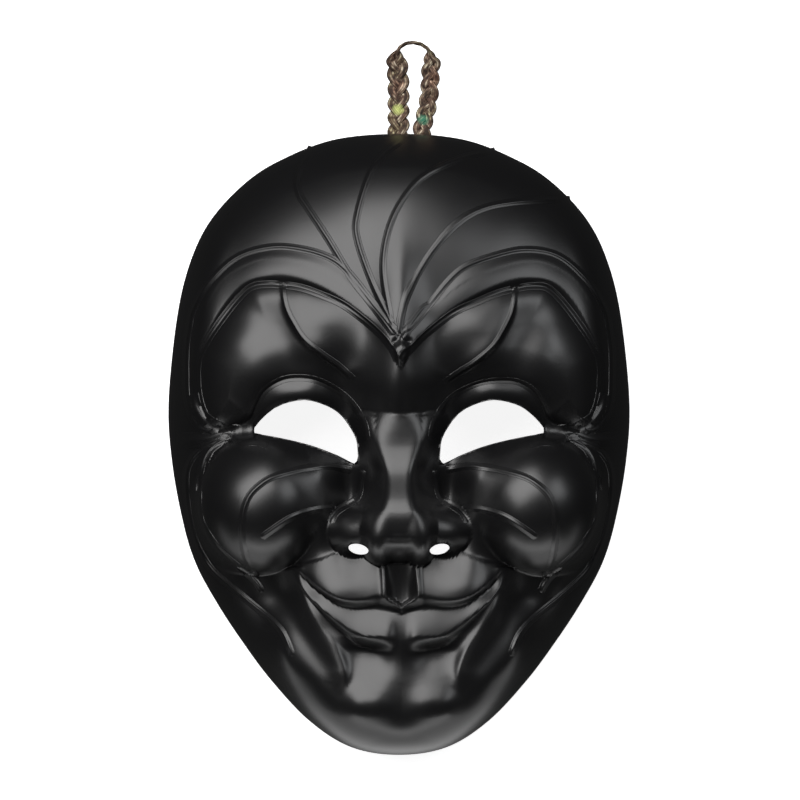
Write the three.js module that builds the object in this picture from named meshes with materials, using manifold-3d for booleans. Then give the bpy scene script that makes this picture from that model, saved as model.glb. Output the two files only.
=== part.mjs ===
// A full-face carnival mask with a wide smile, lying on its rim with the face up: one thin moulded
// shell with brow mouldings, eyelids, cheeks and swirling lines, and a flat braided loop to hang it by.
// X runs across the face, Y from the chin to the forehead, Z out of the face. Millimetres.
import * as THREE from 'three';
import { mergeVertices } from 'three/addons/utils/BufferGeometryUtils.js';
import Module from 'manifold-3d';

// The shell
const wall = 2.4;
const domeDepth = 72;
const sideBlend = 0.88; // share of the way to the rim where the carving begins to fade
const carvedTo = 0.9; // share of the way to the rim that is carved; plain rings make the sides beyond it
const sideRings = [1, 0.9935, 0.978, 0.948];
const rimSteps = 92;
const innerRings = [1, 0.99, 0.965];
const innerCarvedTo = 0.92;
// How full the dome is at a place along the face: Y, power across and root down to the rim
const fullness = [
  [-122, 15, 3.6], [-105, 13, 3.1], [-90, 7.6, 2.7], [-75, 5.2, 2], [-60, 4.1, 2.05], [-30, 3, 2.05],
  [0, 2.8, 2.02], [30, 2.6, 2.1], [60, 2.5, 2.6], [85, 2.5, 3.1], [122, 2.5, 3.2],
];

// The outline of one half of the rim, from the top of the forehead to the chin
const outlineHalf = [
  [0, 120], [25, 117.8], [45.5, 110], [59.5, 101], [72.6, 87], [80.6, 71], [85.8, 50], [89.2, 17],
  [88, -6], [83.8, -29.5], [78.8, -46], [70.8, -61], [61, -76], [49.3, -91.5], [34.5, -107],
  [18.5, -117], [0, -120],
];

// Holes through the shell
const eyeOpening = [
  [15.9, -2.3], [16.6, 2.3], [19.4, 7.4], [23.2, 12], [28.6, 15.1], [36.4, 17], [45.3, 15.1],
  [50.7, 11.6], [55, 7], [55.7, 4.5], [48.4, 3.1], [38.7, 1], [31, -1.2], [23.2, -4.3], [16.3, -7.4],
];
const nostril = { at: [15.5, -40], half: [3.9, 1.95], turn: 12 };

// The brow on the wearer's left sits a little lower beside the nose
const browDrop = 2.8;

// Lines of the carving, drawn on one half of the face: across from the middle, and up
const lidOutline = [
  [61.5, 3.1], [57.7, 9.3], [54.6, 15.1], [51.5, 20.5], [44.9, 24.6], [38.3, 25.5], [31.7, 24.6],
  [25.5, 21.7], [20.1, 17.8], [15.9, 12.8], [13.2, 7.4], [12.2, 0.8], [13.2, -5.4], [15.1, -10.1],
  [26.7, -5.4], [38.3, -1.5], [49.9, 1.5],
];
const bulbLine = [
  [44.9, 61.2], [50.7, 61.4], [56.5, 60.4], [61.5, 56.1], [67.4, 48.8], [73.2, 40.3], [77, 32.5],
  [77.4, 22.8], [75.9, 14.7], [72.4, 7.7],
];
const bladeTop = [
  [44.1, 61.2], [37.2, 60], [29.8, 57.3], [22.1, 53.8], [15.1, 48.8], [7.4, 42.2], [2.7, 36.4],
  [0.4, 31],
];
const bladeFoot = [
  [44.9, 61.2], [43.4, 52.6], [40.3, 46.1], [36.4, 40.3], [29.8, 34.8], [22.8, 29.8], [16.6, 24],
];

// Lines over the eye, from the outermost in, each with how far it stands out, and their common middle
const browRows = [
  {
    line: [
      [75.9, 5.4], [79.5, 10], [81.8, 18], [82.2, 28], [82, 38], [80.8, 46], [79.7, 51.1],
      [75.1, 59.6], [70.5, 65], [65, 70.1], [59.6, 73.2], [53, 75.1], [45.7, 75.9], [38.3, 75.1],
      [30.6, 73.2], [24, 70.1], [18.2, 64.6], [11, 55.5], [5, 48], [0.8, 43],
    ],
    out: 0,
  },
  {
    line: [
      [74.6, 5], [78.5, 11], [80.6, 20], [80.8, 30], [80.2, 38], [77.6, 46], [72.4, 55.7],
      [67.4, 63.1], [61.5, 67], [53.8, 70.3], [46.1, 70.8], [38.3, 69.7], [30.6, 67.4], [22.8, 63.1],
      [15.1, 56.9], [7.4, 49.2], [3.4, 44.2], [0.5, 40],
    ],
    out: 0.78,
  },
  {
    line: [
      [73.3, 5.5], [77.2, 12.5], [79, 20], [79, 28], [77.6, 36], [73.2, 45], [68.5, 52.9],
      [62.3, 60.4], [56.5, 63.6], [49.9, 65], [44.1, 65.2], [38.3, 64], [30.6, 61.2], [22.8, 56.8],
      [15.1, 51.2], [8.5, 45.2], [4, 39.9], [0.6, 35.5],
    ],
    out: 1.24,
  },
  { line: [...[...bulbLine].reverse(), ...bladeTop.slice(1)], out: 0.87 },
];
const browMiddle = [40, 20];

const cheekLine = [
  [63.1, 3.1], [68.5, 1.2], [73.2, -2.3], [75.9, -8.5], [77, -17.8], [76.3, -28.3], [72.8, -35.2],
  [67.4, -41.8], [56.9, -51.5], [53, -57.3],
];
const jawLine = [
  [66.2, 3.1], [75.1, -1.2], [79.7, -5.4], [82.1, -12], [81.7, -23.6], [79.4, -35.2], [75.9, -43],
  [71.2, -49.9], [59.6, -59.6], [46.8, -70.5], [41.4, -81.7],
];
const smileCrease = [
  [23.6, -24.4], [28.6, -24.4], [34.5, -25.5], [40.3, -27.5], [46.1, -31], [53, -36],
];
const cheekCrease = [
  [17, -10.1], [26.7, -8.3], [34.5, -8.9], [42.2, -10.5], [49.2, -12.8], [54.6, -16.6], [57.7, -20.5],
  [59.6, -26.3], [60, -33.3], [58.8, -43], [55.4, -51.5],
];
const noseLine = [
  [13.5, -9.3], [14.7, -13.9], [15.1, -17.8], [16.6, -20.9], [20.5, -23.4], [24.4, -26.3],
  [26.3, -30.6],
];
const lipShelf = [
  [39.9, -46.1], [35.2, -45.9], [29.8, -44.5], [23.6, -42.2], [19, -43.4], [14.3, -44.9],
];
const mouthFrame = [
  [40.2, -46.6], [39.6, -51.1], [38, -57.5], [36, -62], [33.3, -66.6], [30.6, -71], [26.8, -76.2],
  [23.8, -81.7], [22.4, -87], [22.9, -92], [24.8, -96.5],
];
const jawFold = [
  [53, -58], [51, -62.5], [44.7, -71], [40.6, -78], [36, -85.5], [30.5, -92.5], [25, -99],
];

// Swirling lines of the forehead, not mirrored: X and Y, running up from the point between the brows
const swirls = [
  [
    [-1.5, 41.4], [-11.2, 54.6], [-18.2, 63.9], [-27.1, 78.6], [-35.2, 91], [-38.3, 96], [-39.1, 103],
    [-33.7, 115],
  ],
  [
    [-2.3, 45.3], [-10.1, 61.5], [-16.1, 79], [-15.9, 88.6], [-11.2, 103.7], [-5, 112.3], [3.5, 118.5],
  ],
  [
    [-3.1, 47.2], [-6, 64.3], [-5.4, 76.3], [-1.9, 87.9], [4.3, 97.9], [11.2, 104.1], [23.6, 109.9],
    [37.2, 113.4],
  ],
  [
    [-0.4, 41.8], [0.8, 49.5], [3.1, 58.8], [8.1, 69.7], [16.6, 81.3], [29.4, 89.4], [43, 92.9],
    [66.2, 94.5],
  ],
  [
    [1.5, 40.3], [4.3, 48], [8.9, 54.6], [12.8, 56.9],
  ],
];

// The mouth from the nose to the chin, in rows across it: each row's line, and how far it stands out
const mouthRows = [
  {
    line: [
      [0, -41.8], [10.5, -41.8], [19, -40.3], [26.7, -40.6], [34.5, -43.4], [39.9, -44.1],
    ],
    out: 0.15,
  },
  {
    line: [
      [0, -62], [4.6, -59], [8.6, -57.2], [13.9, -58.5], [20.5, -58.9], [25.8, -57.6], [32.4, -53.6],
      [39.7, -47],
    ],
    out: 2.08,
  },
  {
    line: [
      [0, -65], [5.3, -63.8], [11.3, -63.1], [17.9, -63.1], [24.5, -61.6], [29.8, -58.2],
      [35.1, -53.8], [39.9, -48.2],
    ],
    out: -1.94,
  },
  {
    line: [
      [0, -74.8], [6, -74.4], [11.3, -73.9], [17.9, -71.5], [24.5, -67.5], [31.1, -62.2],
      [36.4, -56.9], [40.4, -51],
    ],
    out: 0.93,
  },
  {
    line: [
      [0, -80.8], [7.3, -80.8], [13.9, -78.8], [21.9, -73.5], [28.5, -66.9], [35.1, -59.6],
      [40.4, -53],
    ],
    out: -0.87,
  },
  {
    line: [
      [0, -92], [11.2, -91], [20.9, -87], [30.6, -79], [38.3, -68], [41.4, -58],
    ],
    out: 0,
  },
];
const mouthCorner = 41;
const mouthFull = 32;
const lowerLip = 3; // the row along the lower lip, parted in the middle
const mouthShift = 1; // the mouth and the chin sit a little to one side

// Heights of the carved edges, and the widths of the cushion over the eye beside the nose and outside it
const carving = {
  bulb: 9.2, bulbWidth: [5.1, 12.6], bladeLip: 1.2, groove: 3, strip: 1.3,
  shelf: 1.05, frame: 1.5, fold: 1.23, lipParting: 2.4,
};
const lidRoll = 8.3;
const lidRecess = 4.8;

// Soft swellings and hollows of the whole face: middle, spread, turn in degrees and height
// The first one reaches over the middle and is added from both halves
const crossing = 1;
const swellings = [
  { at: [12.5, -98], half: [8.2, 9], turn: 0, height: 4.4 },
  { at: [0, 91.2], half: [37.5, 60], turn: 0, height: 6.36 },
  { at: [0, 41.3], half: [8.4, 27.5], turn: 0, height: 6.61 },
  { at: [0, -71], half: [21.9, 11.8], turn: 0, height: 3.8 },
  { at: [38.2, 3.9], half: [27.8, 9.7], turn: -4, height: -11.2 },
  { at: [12.3, 14.4], half: [9.5, 10.2], turn: 0, height: -6.11 },
  { at: [19.3, -18.4], half: [8, 19.9], turn: 0, height: -12 },
  { at: [0, -99], half: [30, 12], turn: 0, height: 1.2 },
  { at: [0, 18.9], half: [9.9, 11.6], turn: 0, height: 2.48 },
  { at: [22.3, 24.5], half: [8, 10.6], turn: 0, height: -5.07 },
  { at: [47.4, 50.3], half: [16.3, 10.3], turn: 0, height: -4.99 },
  { at: [59.8, 16.6], half: [13.7, 9.7], turn: 0, height: -3.37 },
  { at: [45.8, 39.9], half: [13.2, 8], turn: 0, height: -3.34 },
  { at: [24.9, 42.6], half: [8, 8], turn: 0, height: -0.74 },
  { at: [39.5, 30.1], half: [15.2, 8.5], turn: 0, height: -4.67 },
  { at: [31.3, -23.3], half: [8.5, 12.4], turn: 0, height: 5.57 },
  { at: [56.1, -9.8], half: [28.7, 8.5], turn: 0, height: 9.56 },
  { at: [55, -44.1], half: [19.2, 11], turn: 0, height: -5.16 },
  { at: [25.9, -56.5], half: [11.7, 11.6], turn: 0, height: 3.47 },
  { at: [46.1, -84.9], half: [8, 14.1], turn: 0, height: 4.07 },
  { at: [49.8, -58.8], half: [12.2, 10.2], turn: 0, height: -5.1 },
  { at: [78.6, 57.3], half: [10, 39.1], turn: 0, height: 3.22 },
];

// Rounded masses that stand out of it: middle and its height, half axes, turn and blend
const masses = [
  { at: [51.7, -22, 52.9], half: [25.4, 26.4, 33.5], turn: 5, blend: 7 },
];
const noseMasses = [
  { at: [16.8, -33.4, 57.5], half: [10.9, 10.2, 19.4], turn: 0, blend: 10.2 },
  { at: [7.3, -33.6, 67.5], half: [8.5, 13.4, 18.9], turn: 0, blend: 3.8 },
];

// The bridge of the nose: at each Y the height of its crest, the half width of its top and the slope of
// its flanks
const noseBridge = {
  crest: [
    [-46, 60], [-40, 79], [-36, 85.69], [-31, 87.97], [-26, 86.74], [-23, 86.69], [-20, 84.86],
    [-17, 82.83], [-11.5, 78.97], [-6.2, 75.9], [1.5, 72.78], [8.5, 72.36], [14, 72.14], [20, 71.07],
    [26, 67], [32, 60.12], [42, 34], [60, -30],
  ],
  edge: [[-40, 7], [-28, 7.93], [-22, 5.11], [-14, 2.29], [-6, 5.37], [2, 7.71], [12, 8.4], [32, 14]],
  flank: [[-40, 1.12], [-14, 1.73], [-3, 2.03], [10, 1.78], [32, 0.78]],
};

// Raised lines: height and half width
const fineLine = { height: 0.7, width: 0.85 };
const swirlLine = { height: 0.9, width: 0.9 };

// Smaller sizes of the carving: widths, and the places between which it comes in or fades out
const browShiftOver = { inner: [0, 6], outer: [28, 62], bottom: [18, 32], top: [75, 90] };
const mouthShiftOver = [-40, -58];
const bandRound = 1.7; // how round the band of the brow is
const browGroove = 2; // half width of the groove under the brow
const browEnds = { outer: [-30, 45], inner: [200, 165] }; // directions in degrees
const cushionOver = [12, 40];
const bladeWidths = [8, 1.3]; // half width on the gentle side and on the steep one
const lidShape = { corners: [14, 57], low: [-6, 4.5], under: 0.35, recessUnder: 0.3, lean: 1.1, ease: 3 };
const bridgeBlend = 4;
const noseRound = 1.5; // how far the tip of the nose is rounded across the middle
const philtrum = { half: 4.9, from: [-43, -56], to: [-61, -57] };
const philtrumStrips = { at: 6.6, half: 1.6, from: [-43, -48], to: [-62, -56] };
const shelfWidths = [5, 0.9];
const frameWidth = 1.7;
const foldWidth = 5;
const partingHalf = 3;
const mouthTopFade = 4;

// The hanging loop: a flat braid whose two ends are bonded in one slot through the wall at the top
const braidWidth = 7.6;
const braidThickness = 2.4;
const slotGap = 0.3;
const slot = { x: 3.9, z: 6, width: 19.6, depth: 16 };
const slotOuterEnd = 122;
const loopRoute = [
  [-0.2, 117.2, 6], [-0.2, 121, 5.9], [-0.2, 125, 4.8], [-0.2, 129, 3.1], [-0.2, 133, 1.9],
  [-0.2, 138, 1.5], [-0.4, 143, 1.6], [-0.8, 147.5, 2.2], [-0.9, 151.2, 3.2], [1.3, 154.2, 3.9],
  [5, 155.3, 3.9], [8.9, 154.4, 3.9], [11.9, 151.8, 3.2], [12.5, 148, 2.3], [12.2, 144, 1.6],
  [12, 140, 1.5], [11.8, 136, 1.5], [11.2, 132, 2.1], [10.4, 128, 3.4], [9.5, 124.5, 4.9],
  [8.9, 121, 5.9], [8.7, 117.2, 6],
];
const loopSteps = 40;

// Colours and finishes
const shellFinish = { color: 0x101012, roughness: 0.4, metalness: 0 };
const loopFinish = { color: 0x6b5c4a, roughness: 0.9, metalness: 0 };

const clamp = (value) => Math.min(1, Math.max(0, value));
const ease = (share) => share * share * (3 - 2 * share);
const between = (from, to, value) => ease(clamp((value - from) / (to - from)));
const bell = (value) => Math.exp(-value * value);

// A smooth curve through points in the plane, as a fine row of points
function smoothLine(points, closed = false, steps = 6) {
  const corners = points.map(([x, y]) => new THREE.Vector3(x, y, 0));
  const curve = new THREE.CatmullRomCurve3(corners, closed, 'catmullrom', 0.5);
  return curve.getPoints(steps * (closed ? points.length : points.length - 1)).map(({ x, y }) => [x, y]);
}

// Points at even steps along a curve, without the repeated last one where it is closed
function evenPoints(points, count, closed = false) {
  const corners = points.map(([x, y]) => new THREE.Vector3(x, y, 0));
  const curve = new THREE.CatmullRomCurve3(corners, closed, 'catmullrom', 0.5);
  const spaced = curve.getSpacedPoints(count).map(({ x, y }) => [x, y]);
  return closed ? spaced.slice(0, count) : spaced;
}

// Distance to a row of points, the share of its length there, and the side: above 0 on its left
function nearest(line, x, y) {
  const found = { distance: Infinity, share: 0, side: 1 };
  for (let i = 0; i + 1 < line.length; i++) {
    const [ax, ay] = line[i];
    const dx = line[i + 1][0] - ax;
    const dy = line[i + 1][1] - ay;
    const t = clamp(((x - ax) * dx + (y - ay) * dy) / Math.max(dx * dx + dy * dy, 1e-9));
    const distance = Math.hypot(x - ax - t * dx, y - ay - t * dy);
    if (distance < found.distance) {
      found.distance = distance;
      found.share = (i + t) / (line.length - 1);
      found.side = dx * (y - ay) - dy * (x - ax) >= 0 ? 1 : -1;
    }
  }
  return found;
}

// Distance to a closed line, below 0 inside it
function signedDistance(line, x, y) {
  let inside = false;
  for (let i = 0; i + 1 < line.length; i++) {
    const [ax, ay] = line[i];
    const [bx, by] = line[i + 1];
    if (ay > y !== by > y && x < ((bx - ax) * (y - ay)) / (by - ay) + ax) inside = !inside;
  }
  return nearest(line, x, y).distance * (inside ? -1 : 1);
}

// The larger of two heights, rounded where they meet
function smoothMax(a, b, blend) {
  const share = clamp(0.5 + (0.5 * (a - b)) / blend);
  return a * share + b * (1 - share) + blend * share * (1 - share);
}

// Place in a turned ellipse, as two shares of its half axes
function inEllipse(u, y, at, half, turn) {
  const angle = THREE.MathUtils.degToRad(turn);
  const across = (u - at[0]) * Math.cos(angle) + (y - at[1]) * Math.sin(angle);
  const up = (y - at[1]) * Math.cos(angle) - (u - at[0]) * Math.sin(angle);
  return Math.hypot(across / half[0], up / half[1]);
}

// Height of an egg-shaped mass, falling away steeply outside it
function massHeight(u, y, { at, half, turn }) {
  const square = inEllipse(u, y, at, half, turn) ** 2;
  return at[2] + half[2] * (square < 1 ? Math.sqrt(1 - square) : 2 - 2 * square);
}

// How far a cushion has risen at a place inside its outline: steep at the edge, level at its width
function cushion(signed, width) {
  const share = clamp(-signed / width);
  return Math.sqrt(1 - (1 - share) ** 2);
}

// A raised line, thinning out at both ends
function raised(line, u, y, width, startFade = 0.05, endFade = 0.05) {
  const { distance, share } = nearest(line, u, y);
  return bell(distance / width) * between(0, startFade, share) * between(0, endFade, 1 - share);
}

// A raised edge: gentle on its left, a step down on its right
function step(line, u, y, gentle, steep, startFade, endFade) {
  const { distance, share, side } = nearest(line, u, y);
  const fall = bell(distance / (side > 0 ? gentle : steep));
  return fall * between(0, startFade, share) * between(0, endFade, 1 - share);
}

const outline = [...outlineHalf, ...outlineHalf.slice(1, -1).reverse().map(([x, y]) => [-x, y])];
const rimLine = smoothLine(outline, true, 12);
const eyeLine = smoothLine(eyeOpening, true);
const lidLine = smoothLine(lidOutline, true);
const bulbEdge = smoothLine(bulbLine);
const bladeEdge = smoothLine(bladeTop);
const bladeFootEdge = smoothLine(bladeFoot);
const browEdges = browRows.map(({ line }) => smoothLine(line));
const cheekEdge = smoothLine(cheekLine);
const jawEdge = smoothLine(jawLine);
const foldEdge = smoothLine(jawFold);
const smileEdge = smoothLine(smileCrease);
const creaseEdge = smoothLine(cheekCrease);
const noseEdge = smoothLine(noseLine);
const shelfEdge = smoothLine(lipShelf);
const frameEdge = smoothLine(mouthFrame);
const swirlEdges = swirls.map((points) => smoothLine(points));
const rowEdges = mouthRows.map(({ line }) => smoothLine(line));

// The mass over the eyes, cushion and brow blade in one, down to the eyelid
const massHalf = [...[...bladeTop].reverse(), ...bulbLine, [66, 6.5], ...lidOutline.slice(1, 10), [12, 14]];
const mirrorBack = (points) => points.map(([x, y]) => [-x, y]).reverse();
const browMass = smoothLine([[0, 30], ...massHalf, [0, 12], ...mirrorBack(massHalf)], true);
const bladeLip = smoothLine([...bladeFoot].reverse());

// Share of the way from the middle of the face to the rim
const rimByAngle = rimLine.map(([x, y]) => ({ angle: Math.atan2(y, x), reach: Math.hypot(x, y) }));
rimByAngle.sort((a, b) => a.angle - b.angle);
function rimShare(x, y) {
  const angle = Math.atan2(y, x);
  const next = rimByAngle.findIndex((entry) => entry.angle >= angle);
  const after = rimByAngle[Math.max(next, 0)];
  const before = rimByAngle[next > 0 ? next - 1 : rimByAngle.length - 1];
  const gap = (after.angle - before.angle + 2 * Math.PI) % (2 * Math.PI);
  const t = gap > 0 ? ((angle - before.angle + 2 * Math.PI) % (2 * Math.PI)) / gap : 0;
  return Math.hypot(x, y) / (before.reach + (after.reach - before.reach) * clamp(t));
}

// How much lower the carving of the brow sits at a place
function browShift(x, y) {
  const { inner, outer, bottom, top } = browShiftOver;
  const across = between(...inner, x) * (1 - between(...outer, x));
  return browDrop * across * between(...bottom, y) * (1 - between(...top, y));
}

// The value beside a place in a row of points: their first number rises from one to the next
function rowAt(row, place, column = 1) {
  let i = 0;
  while (i + 2 < row.length && row[i + 1][0] < place) i++;
  const share = clamp((place - row[i][0]) / Math.max(row[i + 1][0] - row[i][0], 1e-9));
  return row[i][column] + (row[i + 1][column] - row[i][column]) * share;
}

// The fullness of the dome as a fine row: place, power and root
function fullnessCurve() {
  const powers = smoothLine(fullness.map(([place, power]) => [place, power]), false, 12);
  const roots = smoothLine(fullness.map(([place, , root]) => [place, root]), false, 12);
  return powers.map(([place, power], i) => [place, power, roots[i][1]]);
}

// The lips: shelves that rise and fall from row to row, dying out at the corners of the mouth
function mouthHeight(u, y) {
  const rows = rowEdges.map((edge) => rowAt(edge, u));
  const strength = between(mouthCorner, mouthFull, u);
  const outs = mouthRows.map(({ out }) => out);
  outs[lowerLip] -= carving.lipParting * Math.exp(-((u / partingHalf) ** 4));
  if (y > rows[0]) return outs[0] * bell((y - rows[0]) / mouthTopFade) * strength;
  for (let i = 0; i + 1 < rows.length; i++) {
    const share = clamp((rows[i] - y) / Math.max(rows[i] - rows[i + 1], 0.8));
    const straight = i === lowerLip - 1 ? 0.75 : 0;
    const rise = straight * share + (1 - straight) * ease(share);
    if (y > rows[i + 1]) return (outs[i] + (outs[i + 1] - outs[i]) * rise) * strength;
  }
  return 0;
}

// A place as a direction in degrees and a distance from the middle of the brow's arcs
function browPolar([x, y]) {
  const [across, up] = [x - browMiddle[0], y - browMiddle[1]];
  const turn = THREE.MathUtils.radToDeg(Math.atan2(up, across));
  return [turn < -90 ? turn + 360 : turn, Math.hypot(across, up)];
}
const browArcs = browEdges.map((edge) => edge.map(browPolar));

// The moulding over the eye: in each direction the height goes from one arc's to the next one's, into a
// hollow, over a rounded band and into the groove beside the cushion
const browRises = [ease, (share) => 1 - (1 - share) ** bandRound, ease];
function browHeight(u, y) {
  const [turn, far] = browPolar([u, y]);
  const arcs = browArcs.map((arc) => rowAt(arc, turn));
  const ends = between(...browEnds.outer, turn) * between(...browEnds.inner, turn);
  if (far <= arcs[3]) return browRows[3].out * bell((arcs[3] - far) / browGroove) * ends;
  for (let i = 0; i < 3; i++) {
    const share = clamp((arcs[i] - far) / Math.max(arcs[i] - arcs[i + 1], 0.6));
    const rise = browRows[i + 1].out - browRows[i].out;
    if (far <= arcs[i] && far > arcs[i + 1]) return (browRows[i].out + rise * browRises[i](share)) * ends;
  }
  return 0;
}

// The eyelid: a roll between the opening and its outer line, drawn in at the opening, low under the eye
function lidHeight(u, y) {
  const opening = signedDistance(eyeLine, u, y);
  const outer = signedDistance(lidLine, u, y);
  const { corners, low, under, recessUnder, lean, ease: soft } = lidShape;
  const foot = low[0] + (low[1] - low[0]) * clamp((u - corners[0]) / (corners[1] - corners[0]));
  const upper = between(-soft, soft, y - foot);
  const recess = lidRecess * (recessUnder + (1 - recessUnder) * upper);
  if (opening <= 0 || outer >= 0) return opening <= 0 ? -recess : 0;
  const share = clamp(opening / Math.max(opening - outer, 1e-9));
  const roll = lidRoll * (under + (1 - under) * upper);
  return roll * Math.sin(Math.PI * share ** lean) - recess * (1 - share) ** 2;
}

// The bridge: a crest that is flat across at first and falls away straight from its edge on
const bridgeLines = Object.values(noseBridge).map((line) => smoothLine(line));
function noseBridgeHeight(u, y) {
  const [crest, edge, flank] = bridgeLines.map((line) => rowAt(line, y));
  return crest - flank * edge * ((1 + (u / edge) ** 4) ** 0.25 - 1);
}

// Below the nose: a groove between two raised strips, and the edges and the fold that frame the mouth
function lipHeight(u, y) {
  const { half, from, to } = philtrum;
  const groove = carving.groove * between(...from, y) * between(...to, y) * Math.exp(-((u / half) ** 4));
  const strips = philtrumStrips;
  const along = between(...strips.from, y) * between(...strips.to, y);
  const strip = carving.strip * bell((u - strips.at) / strips.half) * along;
  const shelf = carving.shelf * step(shelfEdge, u, y, ...shelfWidths, 0.1, 0.3);
  const frame = carving.frame * raised(frameEdge, u, y, frameWidth, 0.02, 0.15);
  return strip - groove + shelf + frame + carving.fold * raised(foldEdge, u, y, foldWidth, 0.25, 0.25);
}

// Height of the outer face over the plane of the rim
const fullnessLine = fullnessCurve();
function faceHeight(x, placeY) {
  const share = Math.min(rimShare(x, placeY), 1);
  const [power, root] = [1, 2].map((column) => rowAt(fullnessLine, placeY, column));
  const dome = domeDepth * (1 - share ** power) ** (1 / root);
  const u = Math.abs(x - mouthShift * between(...mouthShiftOver, placeY));
  const y = placeY + browShift(x, placeY);
  let height = dome;
  swellings.forEach(({ at, half, turn, height: swell }, i) => {
    height += swell * bell(inEllipse(u, y, at, half, turn));
    if (i < crossing) height += swell * bell(inEllipse(-u, y, at, half, turn));
  });
  height += browHeight(u, y);
  const outside = between(...cushionOver, u);
  const depth = Math.max(-signedDistance(browMass, u, y), 0);
  const [narrow, wider] = carving.bulbWidth;
  height += carving.bulb * outside * cushion(-depth, narrow + wider * outside);
  height += carving.bladeLip * step(bladeLip, u, y, ...bladeWidths, 0.15, 0.35) + lidHeight(u, y);
  for (const mass of masses) height = smoothMax(height, massHeight(u, y, mass), mass.blend);
  height = smoothMax(height, noseBridgeHeight(u, y), bridgeBlend);
  for (const mass of noseMasses) {
    height = smoothMax(height, massHeight(Math.hypot(u, noseRound), y, mass), mass.blend);
  }
  height += mouthHeight(u, y) + lipHeight(u, y) + lineHeight(x, u, y);
  return dome + between(1, sideBlend, share) * (height - dome);
}

// The fine raised lines
const mirroredLines = [
  bulbEdge, bladeEdge, bladeFootEdge, browEdges[0], cheekEdge, jawEdge, smileEdge, creaseEdge, noseEdge,
];
function lineHeight(x, u, y) {
  const fine = Math.max(...mirroredLines.map((line) => raised(line, u, y, fineLine.width)));
  const swirl = Math.max(...swirlEdges.map((line) => raised(line, x, y, swirlLine.width, 0.02, 0.1)));
  return Math.max(fine * fineLine.height, swirl * swirlLine.height);
}

// Height of the inner face: where a ball as thick as the wall, rolled under the outer face, comes to lie
function innerHeight(x, y) {
  let height = Infinity;
  for (const reach of [0, 0.5, 0.8, 0.98]) {
    const around = reach === 0 ? 1 : 8;
    for (let i = 0; i < around; i++) {
      const angle = (2 * Math.PI * i) / around;
      const [px, py] = [x + wall * reach * Math.cos(angle), y + wall * reach * Math.sin(angle)];
      const outer = rimShare(px, py) < 1 ? faceHeight(px, py) : 0;
      height = Math.min(height, outer - wall * Math.sqrt(1 - reach ** 2));
    }
  }
  return Math.max(height, 0.2);
}

// Delaunay triangles over points in the plane, added one at a time; a hair's breadth of scatter keeps
// mirrored points off a common circle
function triangulate(points) {
  const scatter = 1e-3;
  const far = 1e5;
  const count = points.length;
  const place = points.map(([x, y], i) => [x + scatter * Math.sin(13 * i), y + scatter * Math.cos(7 * i)]);
  place.push([-far, -far], [far, -far], [0, far]);
  const around = (a, b, c) => {
    const [ax, ay] = place[a];
    const [bx, by] = [place[b][0] - ax, place[b][1] - ay];
    const [cx, cy] = [place[c][0] - ax, place[c][1] - ay];
    const twice = 2 * (bx * cy - by * cx);
    const x = (cy * (bx * bx + by * by) - by * (cx * cx + cy * cy)) / twice;
    const y = (bx * (cx * cx + cy * cy) - cx * (bx * bx + by * by)) / twice;
    return { corners: [a, b, c], x: ax + x, y: ay + y, square: x * x + y * y };
  };
  let triangles = [around(count, count + 1, count + 2)];
  for (let i = 0; i < count; i++) {
    const [x, y] = place[i];
    const edges = new Map();
    triangles = triangles.filter((triangle) => {
      if ((x - triangle.x) ** 2 + (y - triangle.y) ** 2 >= triangle.square) return true;
      const [a, b, c] = triangle.corners;
      for (const [from, to] of [[a, b], [b, c], [c, a]]) {
        if (!edges.delete(`${to} ${from}`)) edges.set(`${from} ${to}`, [from, to]);
      }
      return false;
    });
    for (const [from, to] of edges.values()) triangles.push(around(from, to, i));
  }
  return triangles
    .map(({ corners }) => corners)
    .filter((corners) => corners.every((corner) => corner < count));
}

const eyeSteps = 30;
const nostrilSteps = 10;
const rightEye = evenPoints(eyeOpening, eyeSteps, true);
const rightNostril = Array.from({ length: nostrilSteps }, (_, i) => {
  const angle = (2 * Math.PI * i) / nostrilSteps;
  const turn = THREE.MathUtils.degToRad(nostril.turn);
  const [across, up] = [nostril.half[0] * Math.cos(angle), -nostril.half[1] * Math.sin(angle)];
  return [
    nostril.at[0] + across * Math.cos(turn) - up * Math.sin(turn),
    nostril.at[1] + across * Math.sin(turn) + up * Math.cos(turn),
  ];
});
const holes = [rightEye, mirrorBack(rightEye), rightNostril, mirrorBack(rightNostril)];
const closedHoles = holes.map((hole) => [...hole, hole[0]]);

// Points of a surface in the plane: the edge ring and the holes first, then rows along the carving, and
// a regular spread over the rest
function spreadPoints(ring, rows, spacing, fineSpacing) {
  const edge = [...ring, ring[0]];
  const points = [...ring, ...holes.flat()];
  const add = ([x, y], gap, clear) => {
    if (signedDistance(edge, x, y) > -gap) return;
    if (closedHoles.some((hole) => signedDistance(hole, x, y) < clear)) return;
    if (points.some((point) => Math.hypot(point[0] - x, point[1] - y) < gap)) return;
    points.push([x, y]);
  };
  for (const { points: row, gap } of rows) row.forEach((point) => add(point, gap, 1.2));
  const lattice = (pitch, gap, fits) => {
    const rise = (pitch * Math.sqrt(3)) / 2;
    for (let j = -80; j <= 80; j++) {
      for (let i = -60; i <= 60; i++) {
        const place = [(i + (j % 2 ? 0.5 : 0)) * pitch, j * rise];
        if (fits(place)) add(place, gap, gap * 0.7);
      }
    }
  };
  lattice(fineSpacing, fineSpacing * 0.7, ([x, y]) => inEllipse(x, y, [0, -22], [30, 42], 0) < 1);
  lattice(spacing, spacing * 0.7, () => true);
  return points;
}

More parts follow.
